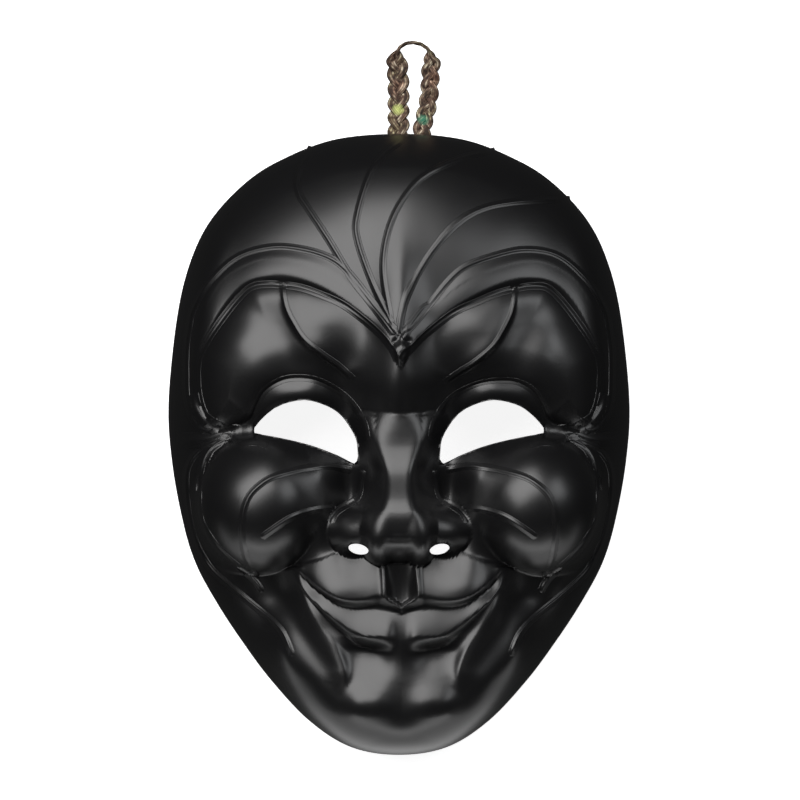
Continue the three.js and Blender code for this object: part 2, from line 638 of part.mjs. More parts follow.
// Rows of points along a line of the carving: its crest and both feet, on one or both halves of the face
function rowsAlong(points, pitch, half, mirrored) {
  const corners = points.map(([x, y]) => new THREE.Vector3(x, y, 0));
  const curve = new THREE.CatmullRomCurve3(corners, false, 'catmullrom', 0.5);
  const count = Math.max(2, Math.round(curve.getLength() / pitch));
  const rows = [];
  for (let i = 0; i <= count; i++) {
    const { x, y } = curve.getPointAt(i / count);
    const along = curve.getTangentAt(i / count);
    for (const side of half > 0 ? [0, -half, half] : [0]) {
      const place = [x - side * along.y, y + side * along.x];
      rows.push([place[0], place[1] - (mirrored ? browShift(place[0], place[1]) : 0)]);
      if (mirrored) rows.push([-place[0], place[1]]);
    }
  }
  return rows;
}

const crestRows = [
  ...swirls.map((points) => ({ points: rowsAlong(points, 4.5, 1.5, false), gap: 1.1 })),
  ...[bulbLine, bladeTop, bladeFoot, browRows[0].line, cheekLine, jawLine, smileCrease, cheekCrease].map(
    (points) => ({ points: rowsAlong(points, 4.8, 1.4, true), gap: 1.1 }),
  ),
  { points: rowsAlong(lidOutline.slice(0, 14), 4, 0, true), gap: 1.2 },
  { points: rowsAlong(browRows[1].line, 5, 0, true), gap: 1.2 },
  { points: rowsAlong(browRows[2].line, 5, 1.3, true), gap: 1.2 },
  { points: rowsAlong(noseLine, 3, 1.2, true), gap: 1 },
  ...mouthRows.slice(1, 5).map(({ line }) => ({ points: rowsAlong(line, 4, 0, true), gap: 1 })),
  { points: rowsAlong(lipShelf, 4, 1, true), gap: 1 },
  { points: rowsAlong(mouthFrame, 5, 1.2, true), gap: 1.2 },
];
// the middle of the eyelid, half way between the opening and its outer line
const lidMiddle = rightEye.slice(1, 18).map(([x, y]) => {
  const { distance } = nearest(lidLine, x, y);
  const [dx, dy] = [x - 36, y - 2];
  const grow = 1 + (0.5 * distance) / Math.hypot(dx, dy);
  return [36 + dx * grow, 2 + dy * grow];
});
crestRows.push({ points: [...lidMiddle, ...mirrorBack(lidMiddle)], gap: 1.2 });

// One face of the shell: rings down its side, then triangles over the carved part, without the holes
function surface(rim, rings, carved, rows, spacing, fineSpacing, heightAt) {
  const vertices = [];
  const triangles = [];
  const size = rim.length;
  for (const ring of rings) {
    for (const [x, y] of rim) {
      vertices.push([x * ring, y * ring, ring === 1 ? 0 : heightAt(x * ring, y * ring)]);
    }
  }
  const start = vertices.length;
  const carvedRing = rim.map(([x, y]) => [x * carved, y * carved]);
  const points = spreadPoints(carvedRing, rows, spacing, fineSpacing);
  for (const [x, y] of points) vertices.push([x, y, heightAt(x, y)]);
  for (let ring = 0; ring < rings.length; ring++) {
    for (let i = 0; i < size; i++) {
      const j = (i + 1) % size;
      const [a, b, c, d] = [ring * size + i, ring * size + j, (ring + 1) * size + i, (ring + 1) * size + j];
      triangles.push([a, b, d], [a, d, c]);
    }
  }
  const closedRing = [...carvedRing, carvedRing[0]];
  for (const corners of triangulate(points)) {
    const [x, y] = [0, 1].map((axis) => corners.reduce((sum, corner) => sum + points[corner][axis] / 3, 0));
    const open = closedHoles.some((hole) => signedDistance(hole, x, y) < 0);
    if (open || signedDistance(closedRing, x, y) >= 0) continue;
    triangles.push(corners.map((corner) => start + corner));
  }
  const loops = [];
  let first = start + size;
  for (const hole of holes) {
    loops.push(hole.map((_, i) => first + i));
    first += hole.length;
  }
  return { vertices, triangles, rim: rim.map((_, i) => i), loops };
}

// Turns every triangle so that its face points up
function faceUp({ vertices, triangles }) {
  return triangles.map(([a, b, c]) => {
    const [p, q, r] = [vertices[a], vertices[b], vertices[c]];
    const turn = (q[0] - p[0]) * (r[1] - p[1]) - (q[1] - p[1]) * (r[0] - p[0]);
    return turn > 0 ? [a, b, c] : [a, c, b];
  });
}

function solidShell() {
  const rim = evenPoints(outline, rimSteps, true);
  const innerRim = rim.map(([x, y], i) => {
    const [before, after] = [rim[(i + rimSteps - 1) % rimSteps], rim[(i + 1) % rimSteps]];
    const [dx, dy] = [after[0] - before[0], after[1] - before[1]];
    const inward = wall / Math.hypot(dx, dy);
    return [x + dy * inward, y - dx * inward];
  });
  const outer = surface(rim, sideRings, carvedTo, crestRows, 4.9, 2.6, faceHeight);
  const inner = surface(innerRim, innerRings, innerCarvedTo, [], 9, 5, innerHeight);
  const shift = outer.vertices.length;
  const vertices = [...outer.vertices, ...inner.vertices];
  const triangles = faceUp(outer);
  for (const [a, b, c] of faceUp(inner)) triangles.push([shift + a, shift + c, shift + b]);
  // bands that join the two faces round the rim and round each hole
  const band = (outerLoop, innerLoop) => {
    for (let i = 0; i < outerLoop.length; i++) {
      const j = (i + 1) % outerLoop.length;
      const [a, b, c, d] = [outerLoop[i], outerLoop[j], shift + innerLoop[i], shift + innerLoop[j]];
      triangles.push([a, d, b], [a, c, d]);
    }
  };
  band([...outer.rim].reverse(), [...inner.rim].reverse());
  outer.loops.forEach((loop, i) => band(loop, inner.loops[i]));
  return { vertices, triangles };
}

// A mesh of shared vertices from lists of corners
function meshGeometry({ vertices, triangles }) {
  const geometry = new THREE.BufferGeometry();
  geometry.setAttribute('position', new THREE.Float32BufferAttribute(vertices.flat(), 3));
  geometry.setIndex(triangles.flat());
  return geometry;
}

const wasm = await Module();
wasm.setup();

function toManifold(geometry) {
  const plain = geometry.clone();
  plain.deleteAttribute('normal');
  plain.deleteAttribute('uv');
  const merged = mergeVertices(plain, 1e-4);
  const vertProperties = new Float32Array(merged.attributes.position.array);
  const triVerts = new Uint32Array(merged.index.array);
  return new wasm.Manifold(new wasm.Mesh({ numProp: 3, vertProperties, triVerts }));
}

function fromManifold(solid) {
  const { vertProperties, triVerts } = solid.getMesh();
  const geometry = new THREE.BufferGeometry();
  geometry.setAttribute('position', new THREE.BufferAttribute(new Float32Array(vertProperties), 3));
  geometry.setIndex(new THREE.BufferAttribute(new Uint32Array(triVerts), 1));
  return geometry;
}

function maskShell() {
  const slotBox = new THREE.BoxGeometry(slot.width, slot.depth, braidThickness + 2 * slotGap);
  slotBox.translate(slot.x, slotOuterEnd - slot.depth / 2, slot.z);
  const solid = toManifold(meshGeometry(solidShell())).subtract(toManifold(slotBox));
  const mesh = new THREE.Mesh(fromManifold(solid), new THREE.MeshStandardMaterial(shellFinish));
  mesh.name = 'mask_shell';
  return mesh;
}

function hangingLoop() {
  const [halfWidth, halfThickness] = [braidWidth / 2, braidThickness / 2];
  const edge = halfThickness * 0.6;
  const corners = [[-1, -1], [1, -1], [1, 1], [-1, 1]].flatMap(([across, up]) => {
    const side = [across * halfWidth, up * (halfThickness - edge)];
    const face = [across * (halfWidth - edge), up * halfThickness];
    return across * up > 0 ? [side, face] : [face, side];
  });
  const section = new THREE.Shape(corners.map(([x, y]) => new THREE.Vector2(x, y)));
  const route = new THREE.CatmullRomCurve3(loopRoute.map(([x, y, z]) => new THREE.Vector3(x, y, z)));
  const sweep = { steps: loopSteps, extrudePath: route, bevelEnabled: false };
  const geometry = new THREE.ExtrudeGeometry(section, sweep);
  const mesh = new THREE.Mesh(geometry, new THREE.MeshStandardMaterial(loopFinish));
  mesh.name = 'hanging_loop';
  return mesh;
}

const mask = new THREE.Group();
mask.add(maskShell(), hangingLoop());

export default mask;
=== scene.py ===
# A full-face carnival mask in satin black, lying on its rim with the face up and seen from straight
# above, with a flat braided loop at the top of the forehead. Metres in the scene, millimetres in the
# tables: x across the face, y from the chin to the forehead, z out of the face.
import bmesh
import bpy
import numpy as np
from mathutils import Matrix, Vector


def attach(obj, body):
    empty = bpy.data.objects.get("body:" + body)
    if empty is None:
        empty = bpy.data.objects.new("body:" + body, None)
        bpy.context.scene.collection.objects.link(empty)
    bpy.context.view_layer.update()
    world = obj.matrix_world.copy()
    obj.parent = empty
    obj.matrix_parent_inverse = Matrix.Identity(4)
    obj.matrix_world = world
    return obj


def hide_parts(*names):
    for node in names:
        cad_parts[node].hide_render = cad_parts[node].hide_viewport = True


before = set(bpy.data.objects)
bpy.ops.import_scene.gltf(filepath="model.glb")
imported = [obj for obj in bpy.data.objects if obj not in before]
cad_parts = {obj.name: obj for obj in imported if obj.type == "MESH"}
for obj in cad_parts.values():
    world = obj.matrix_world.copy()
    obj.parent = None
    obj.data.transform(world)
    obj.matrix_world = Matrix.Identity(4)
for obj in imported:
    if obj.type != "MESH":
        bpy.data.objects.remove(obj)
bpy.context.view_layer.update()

mm = 0.001
scene = bpy.context.scene

# Camera
camera = dict(middle=(0.387, 17.03), height=6000, width=309.7, sensor=36, farthest=50)


def makeCamera(s):
    # Straight above the table, with the lens that takes in the given width of it
    data = bpy.data.cameras.new("camera")
    data.sensor_width = s["sensor"]
    data.lens = s["sensor"] * s["height"] / s["width"]
    data.clip_end = s["farthest"]
    data.dof.use_dof = False
    cam = bpy.data.objects.new("camera", data)
    cam.location = (s["middle"][0] * mm, s["middle"][1] * mm, s["height"] * mm)
    scene.collection.objects.link(cam)
    scene.camera = cam


makeCamera(camera)
print("camera: straight above")


# One output of a node. Sums and products of sockets add their Math nodes.
class Socket:
    def __init__(self, graph, link):
        self.graph, self.link = graph, link

    def math(self, operation, a, b):
        return self.graph.node("ShaderNodeMath", dict(operation=operation), {0: a, 1: b})

    __add__ = lambda self, other: self.math("ADD", self, other)
    __sub__ = lambda self, other: self.math("SUBTRACT", self, other)
    __mul__ = lambda self, other: self.math("MULTIPLY", self, other)
    __truediv__ = lambda self, other: self.math("DIVIDE", self, other)
    __pow__ = lambda self, other: self.math("POWER", self, other)
    __radd__ = lambda self, other: self.math("ADD", other, self)
    __rsub__ = lambda self, other: self.math("SUBTRACT", other, self)
    __rmul__ = lambda self, other: self.math("MULTIPLY", other, self)


# A material's nodes
class Graph:
    def __init__(self, name):
        self.material = bpy.data.materials.new(name)
        self.material.use_nodes = True
        self.tree = self.material.node_tree
        self.shader = self.tree.nodes["Principled BSDF"]

    def put(self, socket, value):
        if isinstance(value, Socket):
            self.tree.links.new(value.link, socket)
        else:
            socket.default_value = value

    def node(self, kind, settings, values, output=0):
        # A node of any kind: its settings first, then the values or links of its inputs
        made = self.tree.nodes.new(kind)
        for name, setting in settings.items():
            if name == "stops":
                for i, (place, colour) in enumerate(setting):
                    ramp = made.color_ramp.elements
                    stop = ramp[i] if i < len(ramp) else ramp.new(place)
                    stop.position, stop.color = place, colour
            else:
                setattr(made, name, setting)
        for name, value in values.items():
            self.put(made.inputs[name], value)
        return Socket(self, made.outputs[output])

    def set(self, **values):
        # Values or links of the shader's inputs
        for name, value in values.items():
            self.put(self.shader.inputs[name.replace("_", " ")], value)


# Curves in the plane
def smoothLine(points, closed=False, steps=6):
    # A curve through the points: on each stretch the cubic that leaves a point along the line between
    # its two neighbours, worked out at even shares of the stretch.
    p = np.asarray(points, float)
    ends = (p[-1:], p[:2]) if closed else (2 * p[:1] - p[1:2], 2 * p[-1:] - p[-2:-1])
    p = np.vstack([ends[0], p, ends[1]])
    a, b, c, d = (p[i : len(p) - 3 + i, None] for i in range(4))
    t = (np.arange(steps) / steps)[None, :, None]
    curve = b + 0.5 * ((c - a) * t + (2 * a - 5 * b + 4 * c - d) * t**2 + (3 * b - a - 3 * c + d) * t**3)
    return np.vstack([curve.reshape(-1, p.shape[1]), p[1:2] if closed else p[-2:-1]])


def nearest(line, x, y, reach=14):
    # Distance to a row of points, the share of its length there and the side, above 0 on its left: the
    # smallest of the distances to its straight stretches. Places farther off than reach get 1000.
    distance, share, side = np.full(x.shape, 1e3), np.zeros(x.shape), np.ones(x.shape)
    low, high = line.min(0) - reach, line.max(0) + reach
    near = (x > low[0]) & (x < high[0]) & (y > low[1]) & (y < high[1])
    px, py = x[near], y[near]
    best, at, left = distance[near], share[near], side[near]
    lengths = np.hypot(*np.diff(line, axis=0).T)
    before = np.concatenate([[0], np.cumsum(lengths)])
    for i in range(len(lengths)):
        ax, ay = line[i]
        dx, dy = line[i + 1] - line[i]
        t = np.clip(((px - ax) * dx + (py - ay) * dy) / max(lengths[i] ** 2, 1e-12), 0, 1)
        d = np.hypot(px - ax - t * dx, py - ay - t * dy)
        closer = d < best
        best = np.where(closer, d, best)
        at = np.where(closer, (before[i] + t * lengths[i]) / before[-1], at)
        left = np.where(closer, np.where(dx * (py - ay) - dy * (px - ax) >= 0, 1, -1), left)
    distance[near], share[near], side[near] = best, at, left
    return distance, share, side


def signedDistance(line, x, y, reach=14):
    # Distance to a closed line, below 0 inside it: a place is inside where a ray across the plane from
    # it crosses the line an odd number of times.
    odd = np.zeros(x.shape, bool)
    for (ax, ay), (bx, by) in zip(line[:-1], line[1:]):
        if ay != by:
            odd ^= ((ay > y) != (by > y)) & (x < (bx - ax) * (y - ay) / (by - ay) + ax)
    distance = nearest(line, x, y, reach)[0]
    return np.where(odd, -distance, distance)


def between(a, b, value):
    # 0 at a, 1 at b, and an S curve from one to the other
    t = np.clip((value - a) / (b - a), 0, 1)
    return t * t * (3 - 2 * t)


def bell(value):
    # 1 at 0, falling off to both sides with the square of the value
    return np.exp(-value * value)


def smoothMax(a, b, blend):
    # The larger of two heights, rounded where they meet
    share = np.clip(0.5 + 0.5 * (a - b) / blend, 0, 1)
    return a * share + b * (1 - share) + blend * share * (1 - share)


def inEllipse(u, y, at, half, turn=0):
    # Distance from the middle of a turned ellipse, as a share of its half axes
    c, s = np.cos(np.radians(turn)), np.sin(np.radians(turn))
    across, up = (u - at[0]) * c + (y - at[1]) * s, (y - at[1]) * c - (u - at[0]) * s
    return np.hypot(across / half[0], up / half[1])


def egg(u, y, at, half, turn=0, **rest):
    # Height of an egg-shaped mass, falling away steeply outside it
    q = inEllipse(u, y, at, half, turn) ** 2
    return at[2] + half[2] * np.where(q < 1, np.sqrt(np.clip(1 - q, 0, 1)), 2 - 2 * q)


def cushion(depth, width):
    # How far a cushion has risen at a depth inside its edge: steep at first, level at its width
    share = np.clip(depth / width, 0, 1)
    return (1 - (1 - share) ** 2) ** 0.75


def raised(line, u, y, width, startFade, endFade):
    # A raised line with a bell-shaped section, thinning out at both ends
    distance, share, _ = nearest(line, u, y, 4 * width)
    return bell(distance / width) * between(0, startFade, share) * between(0, endFade, 1 - share)


def step(line, u, y, gentle, steep, startFade, endFade):
    # A raised edge: it falls gently on the line's left and steeply on its right
    distance, share, side = nearest(line, u, y, 3 * gentle)
    fall = bell(distance / np.where(side > 0, gentle, steep))
    return fall * between(0, startFade, share) * between(0, endFade, 1 - share)


def unit(v):
    # Vectors of the same directions, 1 long
    return v / np.linalg.norm(v, axis=-1, keepdims=True)


def makeMesh(name, points, faces):
    # A smooth mesh from the places of its corners and the corners of its faces
    mesh = bpy.data.meshes.new(name)
    mesh.from_pydata(points, [], faces, shade_flat=False)
    mesh.validate()
    made = bpy.data.objects.new(name, mesh)
    scene.collection.objects.link(made)
    return made


# The hanging loop: a flat braid that turns on edge where it bends
braid = dict(
    route=[
        (-0.2, 117.2, 6), (-0.2, 121, 5.9), (-0.2, 125, 4.8), (-0.2, 129, 3.1), (-0.2, 133, 1.9),
        (-0.2, 138, 1.5), (-0.4, 143, 1.6), (-0.8, 147.5, 2.2), (-0.9, 151.2, 3.2), (1.3, 154.2, 3.9),
        (5, 155.3, 3.9), (8.9, 154.4, 3.9), (11.9, 151.8, 3.2), (12.5, 148, 2.3), (12.2, 144, 1.6),
        (12, 140, 1.5), (11.8, 136, 1.5), (11.2, 132, 2.1), (10.4, 128, 3.4), (9.5, 124.5, 4.9),
        (8.9, 121, 5.9), (8.7, 117.2, 6),
    ],
    routeSteps=40,
    rings=360, around=32,
    bundles=3, pitch=17.4, start=0.05,
    swing=(2.4, 0.6),  # sideways, and up and down
    section=(1.4, 0.8),
    lobe=0.35,  # how much wider a bundle is at the band's edges
    crown=(6.5, 12),  # distances from the middle of the route between which the band turns on edge
    crownSize=(0.6, 0.55), legSize=(1, 0.86),
    threads=10, threadDepth=0.12,
    uvLength=10, uvShift=20,  # between one bundle's threads and the next one's
    width=7.6,
)


def makeBraid(s):
    # Each bundle of threads swings from side to side as a sine of the way along the route and up and
    # down at twice that rate, a third of a turn after the bundle before it. Its section is an ellipse
    # ribbed by the threads, wider at the band's edges. The band's width lies flat in the legs and
    # stands up at the crown.
    line = smoothLine(s["route"], steps=s["routeSteps"])
    lengths = np.concatenate([[0], np.cumsum(np.linalg.norm(np.diff(line, axis=0), axis=1))])
    along = np.linspace(0, lengths[-1], s["rings"])
    middle = np.stack([np.interp(along, lengths, line[:, i]) for i in range(3)], -1)
    way = unit(np.gradient(middle, axis=0))
    level = unit(np.stack([-way[:, 1], way[:, 0], 0 * way[:, 0]], -1))
    crown = (1 - between(*s["crown"], np.abs(along - lengths[-1] / 2)))[:, None]
    wide = unit(np.cos(crown * np.pi / 2) * level + np.sin(crown * np.pi / 2) * np.cross(way, level))
    thin = np.cross(way, wide)
    spread, flat = 1 - (1 - s["crownSize"][0]) * crown, 1 - (1 - s["crownSize"][1]) * crown
    spread = spread * np.where(along < lengths[-1] / 2, *s["legSize"])[:, None]
    angle = np.arange(s["around"]) / s["around"] * 2 * np.pi
    rib = 1 + s["threadDepth"] * np.cos(s["threads"] * angle)
    points, faces, uvs, count = [], [], [], 0
    for k in range(s["bundles"]):
        turn = 2 * np.pi * (along / s["pitch"] + k / s["bundles"] + s["start"])[:, None]
        core = middle + wide * s["swing"][0] * spread * np.sin(turn)
        core += thin * s["swing"][1] * flat * np.sin(2 * turn)
        run = unit(np.gradient(core, axis=0))
        up = unit(thin - (thin * run).sum(1, keepdims=True) * run)
        across = np.cross(up, run)
        half = (s["section"][0] + s["lobe"] * np.sin(turn) ** 4) * spread
        x, y = half * rib * np.cos(angle), s["section"][1] * flat * rib * np.sin(angle)
        tube = core[:, None] + across[:, None] * x[..., None] + up[:, None] * y[..., None]
        n = np.arange(tube.shape[0] * tube.shape[1]).reshape(tube.shape[:2]) + count
        nextRound = np.roll(n, -1, 1)
        quads = np.stack([n[:-1], nextRound[:-1], nextRound[1:], n[1:]], -1).reshape(-1, 4)
        j = np.broadcast_to(np.arange(s["around"]), n[:-1].shape)
        low, high = (np.broadcast_to(row[:, None], j.shape) for row in (along[:-1], along[1:]))
        shift = s["uvShift"] * k
        place = lambda column, row: np.stack([column / s["around"], row / s["uvLength"] + shift], -1)
        corners = [place(j, low), place(j + 1, low), place(j + 1, high), place(j, high)]
        uvs.append(np.stack(corners, 2).reshape(-1, 2))
        faces.append(quads)
        points.append(tube.reshape(-1, 3))
        count += n.size
    made = makeMesh("braid_loop", np.vstack(points) * mm, np.vstack(faces))
    layer = made.data.uv_layers.new(name="thread")
    layer.data.foreach_set("uv", np.vstack(uvs).ravel())
    closeEnds(made, s["rings"], s["around"], s["bundles"])
    return made, middle * mm, lengths[-1] * mm


def closeEnds(made, rings, around, tubes):
    # One many-sided face over each end of each tube
    work = bmesh.new()
    work.from_mesh(made.data)
    work.verts.ensure_lookup_table()
    for k in range(tubes):
        first = [work.verts[k * rings * around + i] for i in range(around)]
        last = [work.verts[(k * rings + rings - 1) * around + i] for i in range(around)]
        work.faces.new(first[::-1])
        work.faces.new(last)
    bmesh.ops.recalc_face_normals(work, faces=work.faces)
    work.to_mesh(made.data)
    work.free()


braidLoop, braidPath, braidLength = makeBraid(braid)
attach(braidLoop, "root")
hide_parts("hanging_loop")
print("loop: a braid of", round(braidLength * 1000), "mm")

threadLook = dict(
    threads=braid["threads"],
    colours=[
        (0.0, (0.01, 0.008, 0.006, 1)), (0.3, (0.035, 0.02, 0.014, 1)), (0.45, (0.085, 0.052, 0.036, 1)),
        (0.56, (0.13, 0.088, 0.062, 1)), (0.68, (0.22, 0.17, 0.12, 1)), (0.82, (0.42, 0.36, 0.27, 1)),
    ],
    tint=[(0.3, (1.1, 0.88, 0.84, 1)), (0.5, (1, 1, 1, 1)), (0.7, (0.95, 1, 0.82, 1))],
    toneShift=3.7, toneRate=4, toneSize=1.1, toneSpread=1.9,  # how the threads' tone changes
    tintSize=160,
    # painted shade: its colour, its strength at a bundle's sides and in the furrows, and how far a thread's
    # crest is kept clear of it
    paintedShade=(0.012, 0.01, 0.008, 1), sideShade=0.85, furrowShade=0.7, crestUnshaded=0.9,
    lime=(0.55, 0.62, 0.2, 1), limeAt=(-0.0003, 0.1294, 0.004),
    green=(0.03, 0.25, 0.15, 1), greenAt=(0.0092, 0.1252, 0.005),
    speckSize=0.0026,
    roughness=0.8, shine=0.25,
)


def makeThreadLook(s):
    # Each thread has a tone of its own that changes along it. Painted shade darkens it in the furrows
    # between threads and at the sides of a bundle, and two small specks are coloured, fainter in the
    # furrows.
    g = Graph("braidThreads")

    def math(operation, a, b=0, **settings):
        return g.node("ShaderNodeMath", dict(operation=operation, **settings), {0: a, 1: b})

    def mix(share, a, b, **settings):
        return g.node("ShaderNodeMix", dict(data_type="RGBA", **settings), {0: share, 6: a, 7: b}, 2)

    uv = g.node("ShaderNodeUVMap", dict(uv_map="thread"), {})
    place = g.node("ShaderNodeTexCoord", {}, {}, "Object")
    u = g.node("ShaderNodeSeparateXYZ", {}, {0: uv}, 0)
    v = g.node("ShaderNodeSeparateXYZ", {}, {0: uv}, 1)
    thread = u * s["threads"] + 0.5
    number = math("FLOOR", thread)
    furrow = math("PINGPONG", thread, 0.5) * 2
    key = g.node("ShaderNodeCombineXYZ", {}, {0: number * s["toneShift"], 1: v * s["toneRate"], 2: 0.3})
    tone = g.node("ShaderNodeTexNoise", {}, dict(Vector=key, Scale=s["toneSize"], Detail=3))
    tone = (tone - 0.5) * s["toneSpread"] + 0.5
    shade = g.node("ShaderNodeValToRGB", dict(stops=s["colours"]), {0: tone})
    area = g.node("ShaderNodeTexNoise", {}, dict(Vector=place, Scale=s["tintSize"], Detail=1))
    tint = g.node("ShaderNodeValToRGB", dict(stops=s["tint"]), {0: area})
    shade = mix(1, shade, tint, blend_type="MULTIPLY")
    # painted shade at the sides of a bundle and in the furrows between threads, kept off the threads'
    # crests
    side = math("COSINE", u * (4 * np.pi)) * 0.5 + 0.5
    paintedShade = math("MAXIMUM", side ** 5 * s["sideShade"], s["furrowShade"] - s["crestUnshaded"] * furrow)
    shade = mix(paintedShade, shade, s["paintedShade"])
    for colour, at in ((s["lime"], s["limeAt"]), (s["green"], s["greenAt"])):
        far = g.node("ShaderNodeVectorMath", dict(operation="DISTANCE"), {0: place, 1: at}, "Value")
        inside = math("SUBTRACT", 1, far / s["speckSize"], use_clamp=True)
        shade = mix(inside ** 0.7 * (0.5 + 0.5 * furrow), shade, colour)
    g.set(Base_Color=shade, Roughness=s["roughness"], Specular_IOR_Level=s["shine"])
    return g.material


braidLoop.data.materials.append(makeThreadLook(threadLook))

# The mask's shell. Its relief is drawn on one half of the face, u across from the middle, and mirrored.
shell = dict(
    wall=2.4,
    half=(89, 120),  # of the oval behind the grid's directions
    domeDepth=72,
    fullness=[  # place up the face, power across the dome and root down to the rim
        (-122, 15, 3.6), (-105, 13, 3.1), (-90, 7.6, 2.7), (-75, 5.2, 2), (-60, 4.1, 2.05), (-30, 3, 2.05),
        (0, 2.8, 2.02), (30, 2.6, 2.1), (60, 2.5, 2.6), (85, 2.5, 3.1), (122, 2.5, 3.2),
    ],
    sideBlend=0.88,  # share of the way to the rim where the carving begins to fade into the dome
    crossingTo=20,  # swellings nearer to the middle than this reach over it
    grid=(234, 298), innerGrid=(72, 92),  # columns and rows
    gridSpan=220,  # divided by the rows, about one grid step
    ringCrowding=0.1,  # of the grid's rings towards the rim
    snap=0.3,  # share of a grid step within which a corner is moved onto a hole's edge
    nostrilRoom=1.3,  # how much wider the nostrils are inside
    innerLeast=0.2,
    ballRings=(0, 0.5, 0.8, 0.98),  # where the ball under the outer face is tried, as shares of its size
    normalGap=0.3,  # reach of the slopes that shade the outer face
    normalsTo=0.95,  # share of the way to the rim up to which they do
)
# the thin raised lines, and the strips that they are made of
lines = dict(
    fine=(0.5, 0.66), swirl=(0.5, 0.68),  # height and half width
    strongCheek=1.5, bladeFoot=0.7,  # times the height of the others
    lid=0.15,
    growth=1.4, growthFrom=(0.8, 0.96),  # taller between these shares of the way to the rim
    fade=(0.99, 0.955),  # and down to nothing between these
    step=1.3,
    across=(-2.3, -2.3, -1.7, -1.2, -0.75, -0.35, 0, 0.35, 0.75, 1.2, 1.7, 2.3, 2.3),
    sunkFoot=0.6, sunkEdge=0.05, sunkEnd=0.3,
    lift=0.02, least=0.1,
    dent=-0.4,  # the face is pressed in under the strips by this share of their height
)

outlineHalf = [
    (0, 120), (25, 117.8), (45.5, 110), (59.5, 101), (72.6, 87), (80.6, 71), (85.8, 50), (89.2, 17),
    (88, -6), (83.8, -29.5), (78.8, -46), (70.8, -61), (61, -76), (49.3, -91.5), (34.5, -107), (18.5, -117),
    (0, -120),
]
eyeOpening = [
    (15.9, -2.3), (16.6, 2.3), (19.4, 7.4), (23.2, 12), (28.6, 15.1), (36.4, 17), (45.3, 15.1),
    (50.7, 11.6), (55, 7), (55.7, 4.5), (48.4, 3.1), (38.7, 1), (31, -1.2), (23.2, -4.3), (16.3, -7.4),
]
nostril = dict(at=(15.5, -40), half=(3.9, 1.95), turn=12)
# the bands through the wall: the middle of each hole, and how far from it its edges reach
holeBands = [((34.5, 5.5), 26), (nostril["at"], 9)]
lidOutline = [
    (61.5, 3.1), (57.7, 9.3), (54.6, 15.1), (51.5, 20.5), (44.9, 24.6), (38.3, 25.5), (31.7, 24.6),
    (25.5, 21.7), (20.1, 17.8), (15.9, 12.8), (13.2, 7.4), (12.2, 0.8), (13.2, -5.4), (15.1, -10.1),
    (26.7, -5.4), (38.3, -1.5), (49.9, 1.5),
]
bulbLine = [
    (44.9, 61.2), (50.7, 61.4), (56.5, 60.4), (61.5, 56.1), (67.4, 48.8), (73.2, 40.3), (77, 32.5),
    (77.4, 22.8), (75.9, 14.7), (72.4, 7.7),
]
bladeTop = [
    (44.1, 61.2), (37.2, 60), (29.8, 57.3), (22.1, 53.8), (15.1, 48.8), (7.4, 42.2), (2.7, 36.4), (0.4, 31),
]
bladeFoot = [(44.9, 61.2), (43.4, 52.6), (40.3, 46.1), (36.4, 40.3), (29.8, 34.8), (22.8, 29.8), (16.6, 24)]
# the moulding over the eye, which lies in arcs round a middle
brow = dict(
    middle=(40, 20),
    roundness=1.7, least=0.6, innerFade=2,
    tail=(-30, 45), end=(178, 163),  # directions between which it comes in and dies out
    drop=2.8, dropIn=(0, 6), dropOut=(28, 62), dropFoot=(18, 32), dropTop=(75, 90),
)
# its lines from the outermost in, each with how far it stands out
browRows = [
    ([(75.9, 5.4), (79.5, 10), (81.8, 18), (82.2, 28), (82, 38), (80.8, 46), (79.7, 51.1), (75.1, 59.6),
      (70.5, 65), (65, 70.1), (59.6, 73.2), (53, 75.1), (45.7, 75.9), (38.3, 75.1), (30.6, 73.2),
      (24, 70.1), (18.2, 64.6), (11, 55.5), (5, 48), (0.8, 43)], 0),
    ([(74.6, 5), (78.5, 11), (80.6, 20), (80.8, 30), (80.2, 38), (77.6, 46), (72.4, 55.7), (67.4, 63.1),
      (61.5, 67), (53.8, 70.3), (46.1, 70.8), (38.3, 69.7), (30.6, 67.4), (22.8, 63.1), (15.1, 56.9),
      (7.4, 49.2), (3.4, 44.2), (0.5, 40)], 1.17),
    ([(73.3, 5.5), (77.2, 12.5), (79, 20), (79, 28), (77.6, 36), (73.2, 45), (68.5, 52.9), (62.3, 60.4),
      (56.5, 63.6), (49.9, 65), (44.1, 65.2), (38.3, 64), (30.6, 61.2), (22.8, 56.8), (15.1, 51.2),
      (8.5, 45.2), (4, 39.9), (0.6, 35.5)], 1.78),
    (bulbLine[::-1] + bladeTop[1:], 0.21),
]
cheekLine = [
    (63.1, 3.1), (68.5, 1.2), (73.2, -2.3), (75.9, -8.5), (77, -17.8), (76.3, -28.3), (72.8, -35.2),
    (67.4, -41.8), (56.9, -51.5), (53, -57.3),
]
jawLine = [
    (66.2, 3.1), (75.1, -1.2), (79.7, -5.4), (82.1, -12), (81.7, -23.6), (79.4, -35.2), (75.9, -43),
    (71.2, -49.9), (59.6, -59.6), (46.8, -70.5), (41.4, -81.7),
]
smileCrease = [(23.6, -24.4), (28.6, -24.4), (34.5, -25.5), (40.3, -27.5), (46.1, -31), (53, -36)]
cheekCrease = [
    (17, -10.1), (26.7, -8.3), (34.5, -8.9), (42.2, -10.5), (49.2, -12.8), (54.6, -16.6), (57.7, -20.5),
    (59.6, -26.3), (60, -33.3), (58.8, -43), (55.4, -51.5),
]
noseLine = [
    (13.5, -9.3), (14.7, -13.9), (15.1, -17.8), (16.6, -20.9), (20.5, -23.4), (24.4, -26.3), (26.3, -30.6),
]
lipShelf = [(39.9, -46.1), (35.2, -45.9), (29.8, -44.5), (23.6, -42.2), (19, -43.4), (14.3, -44.9)]
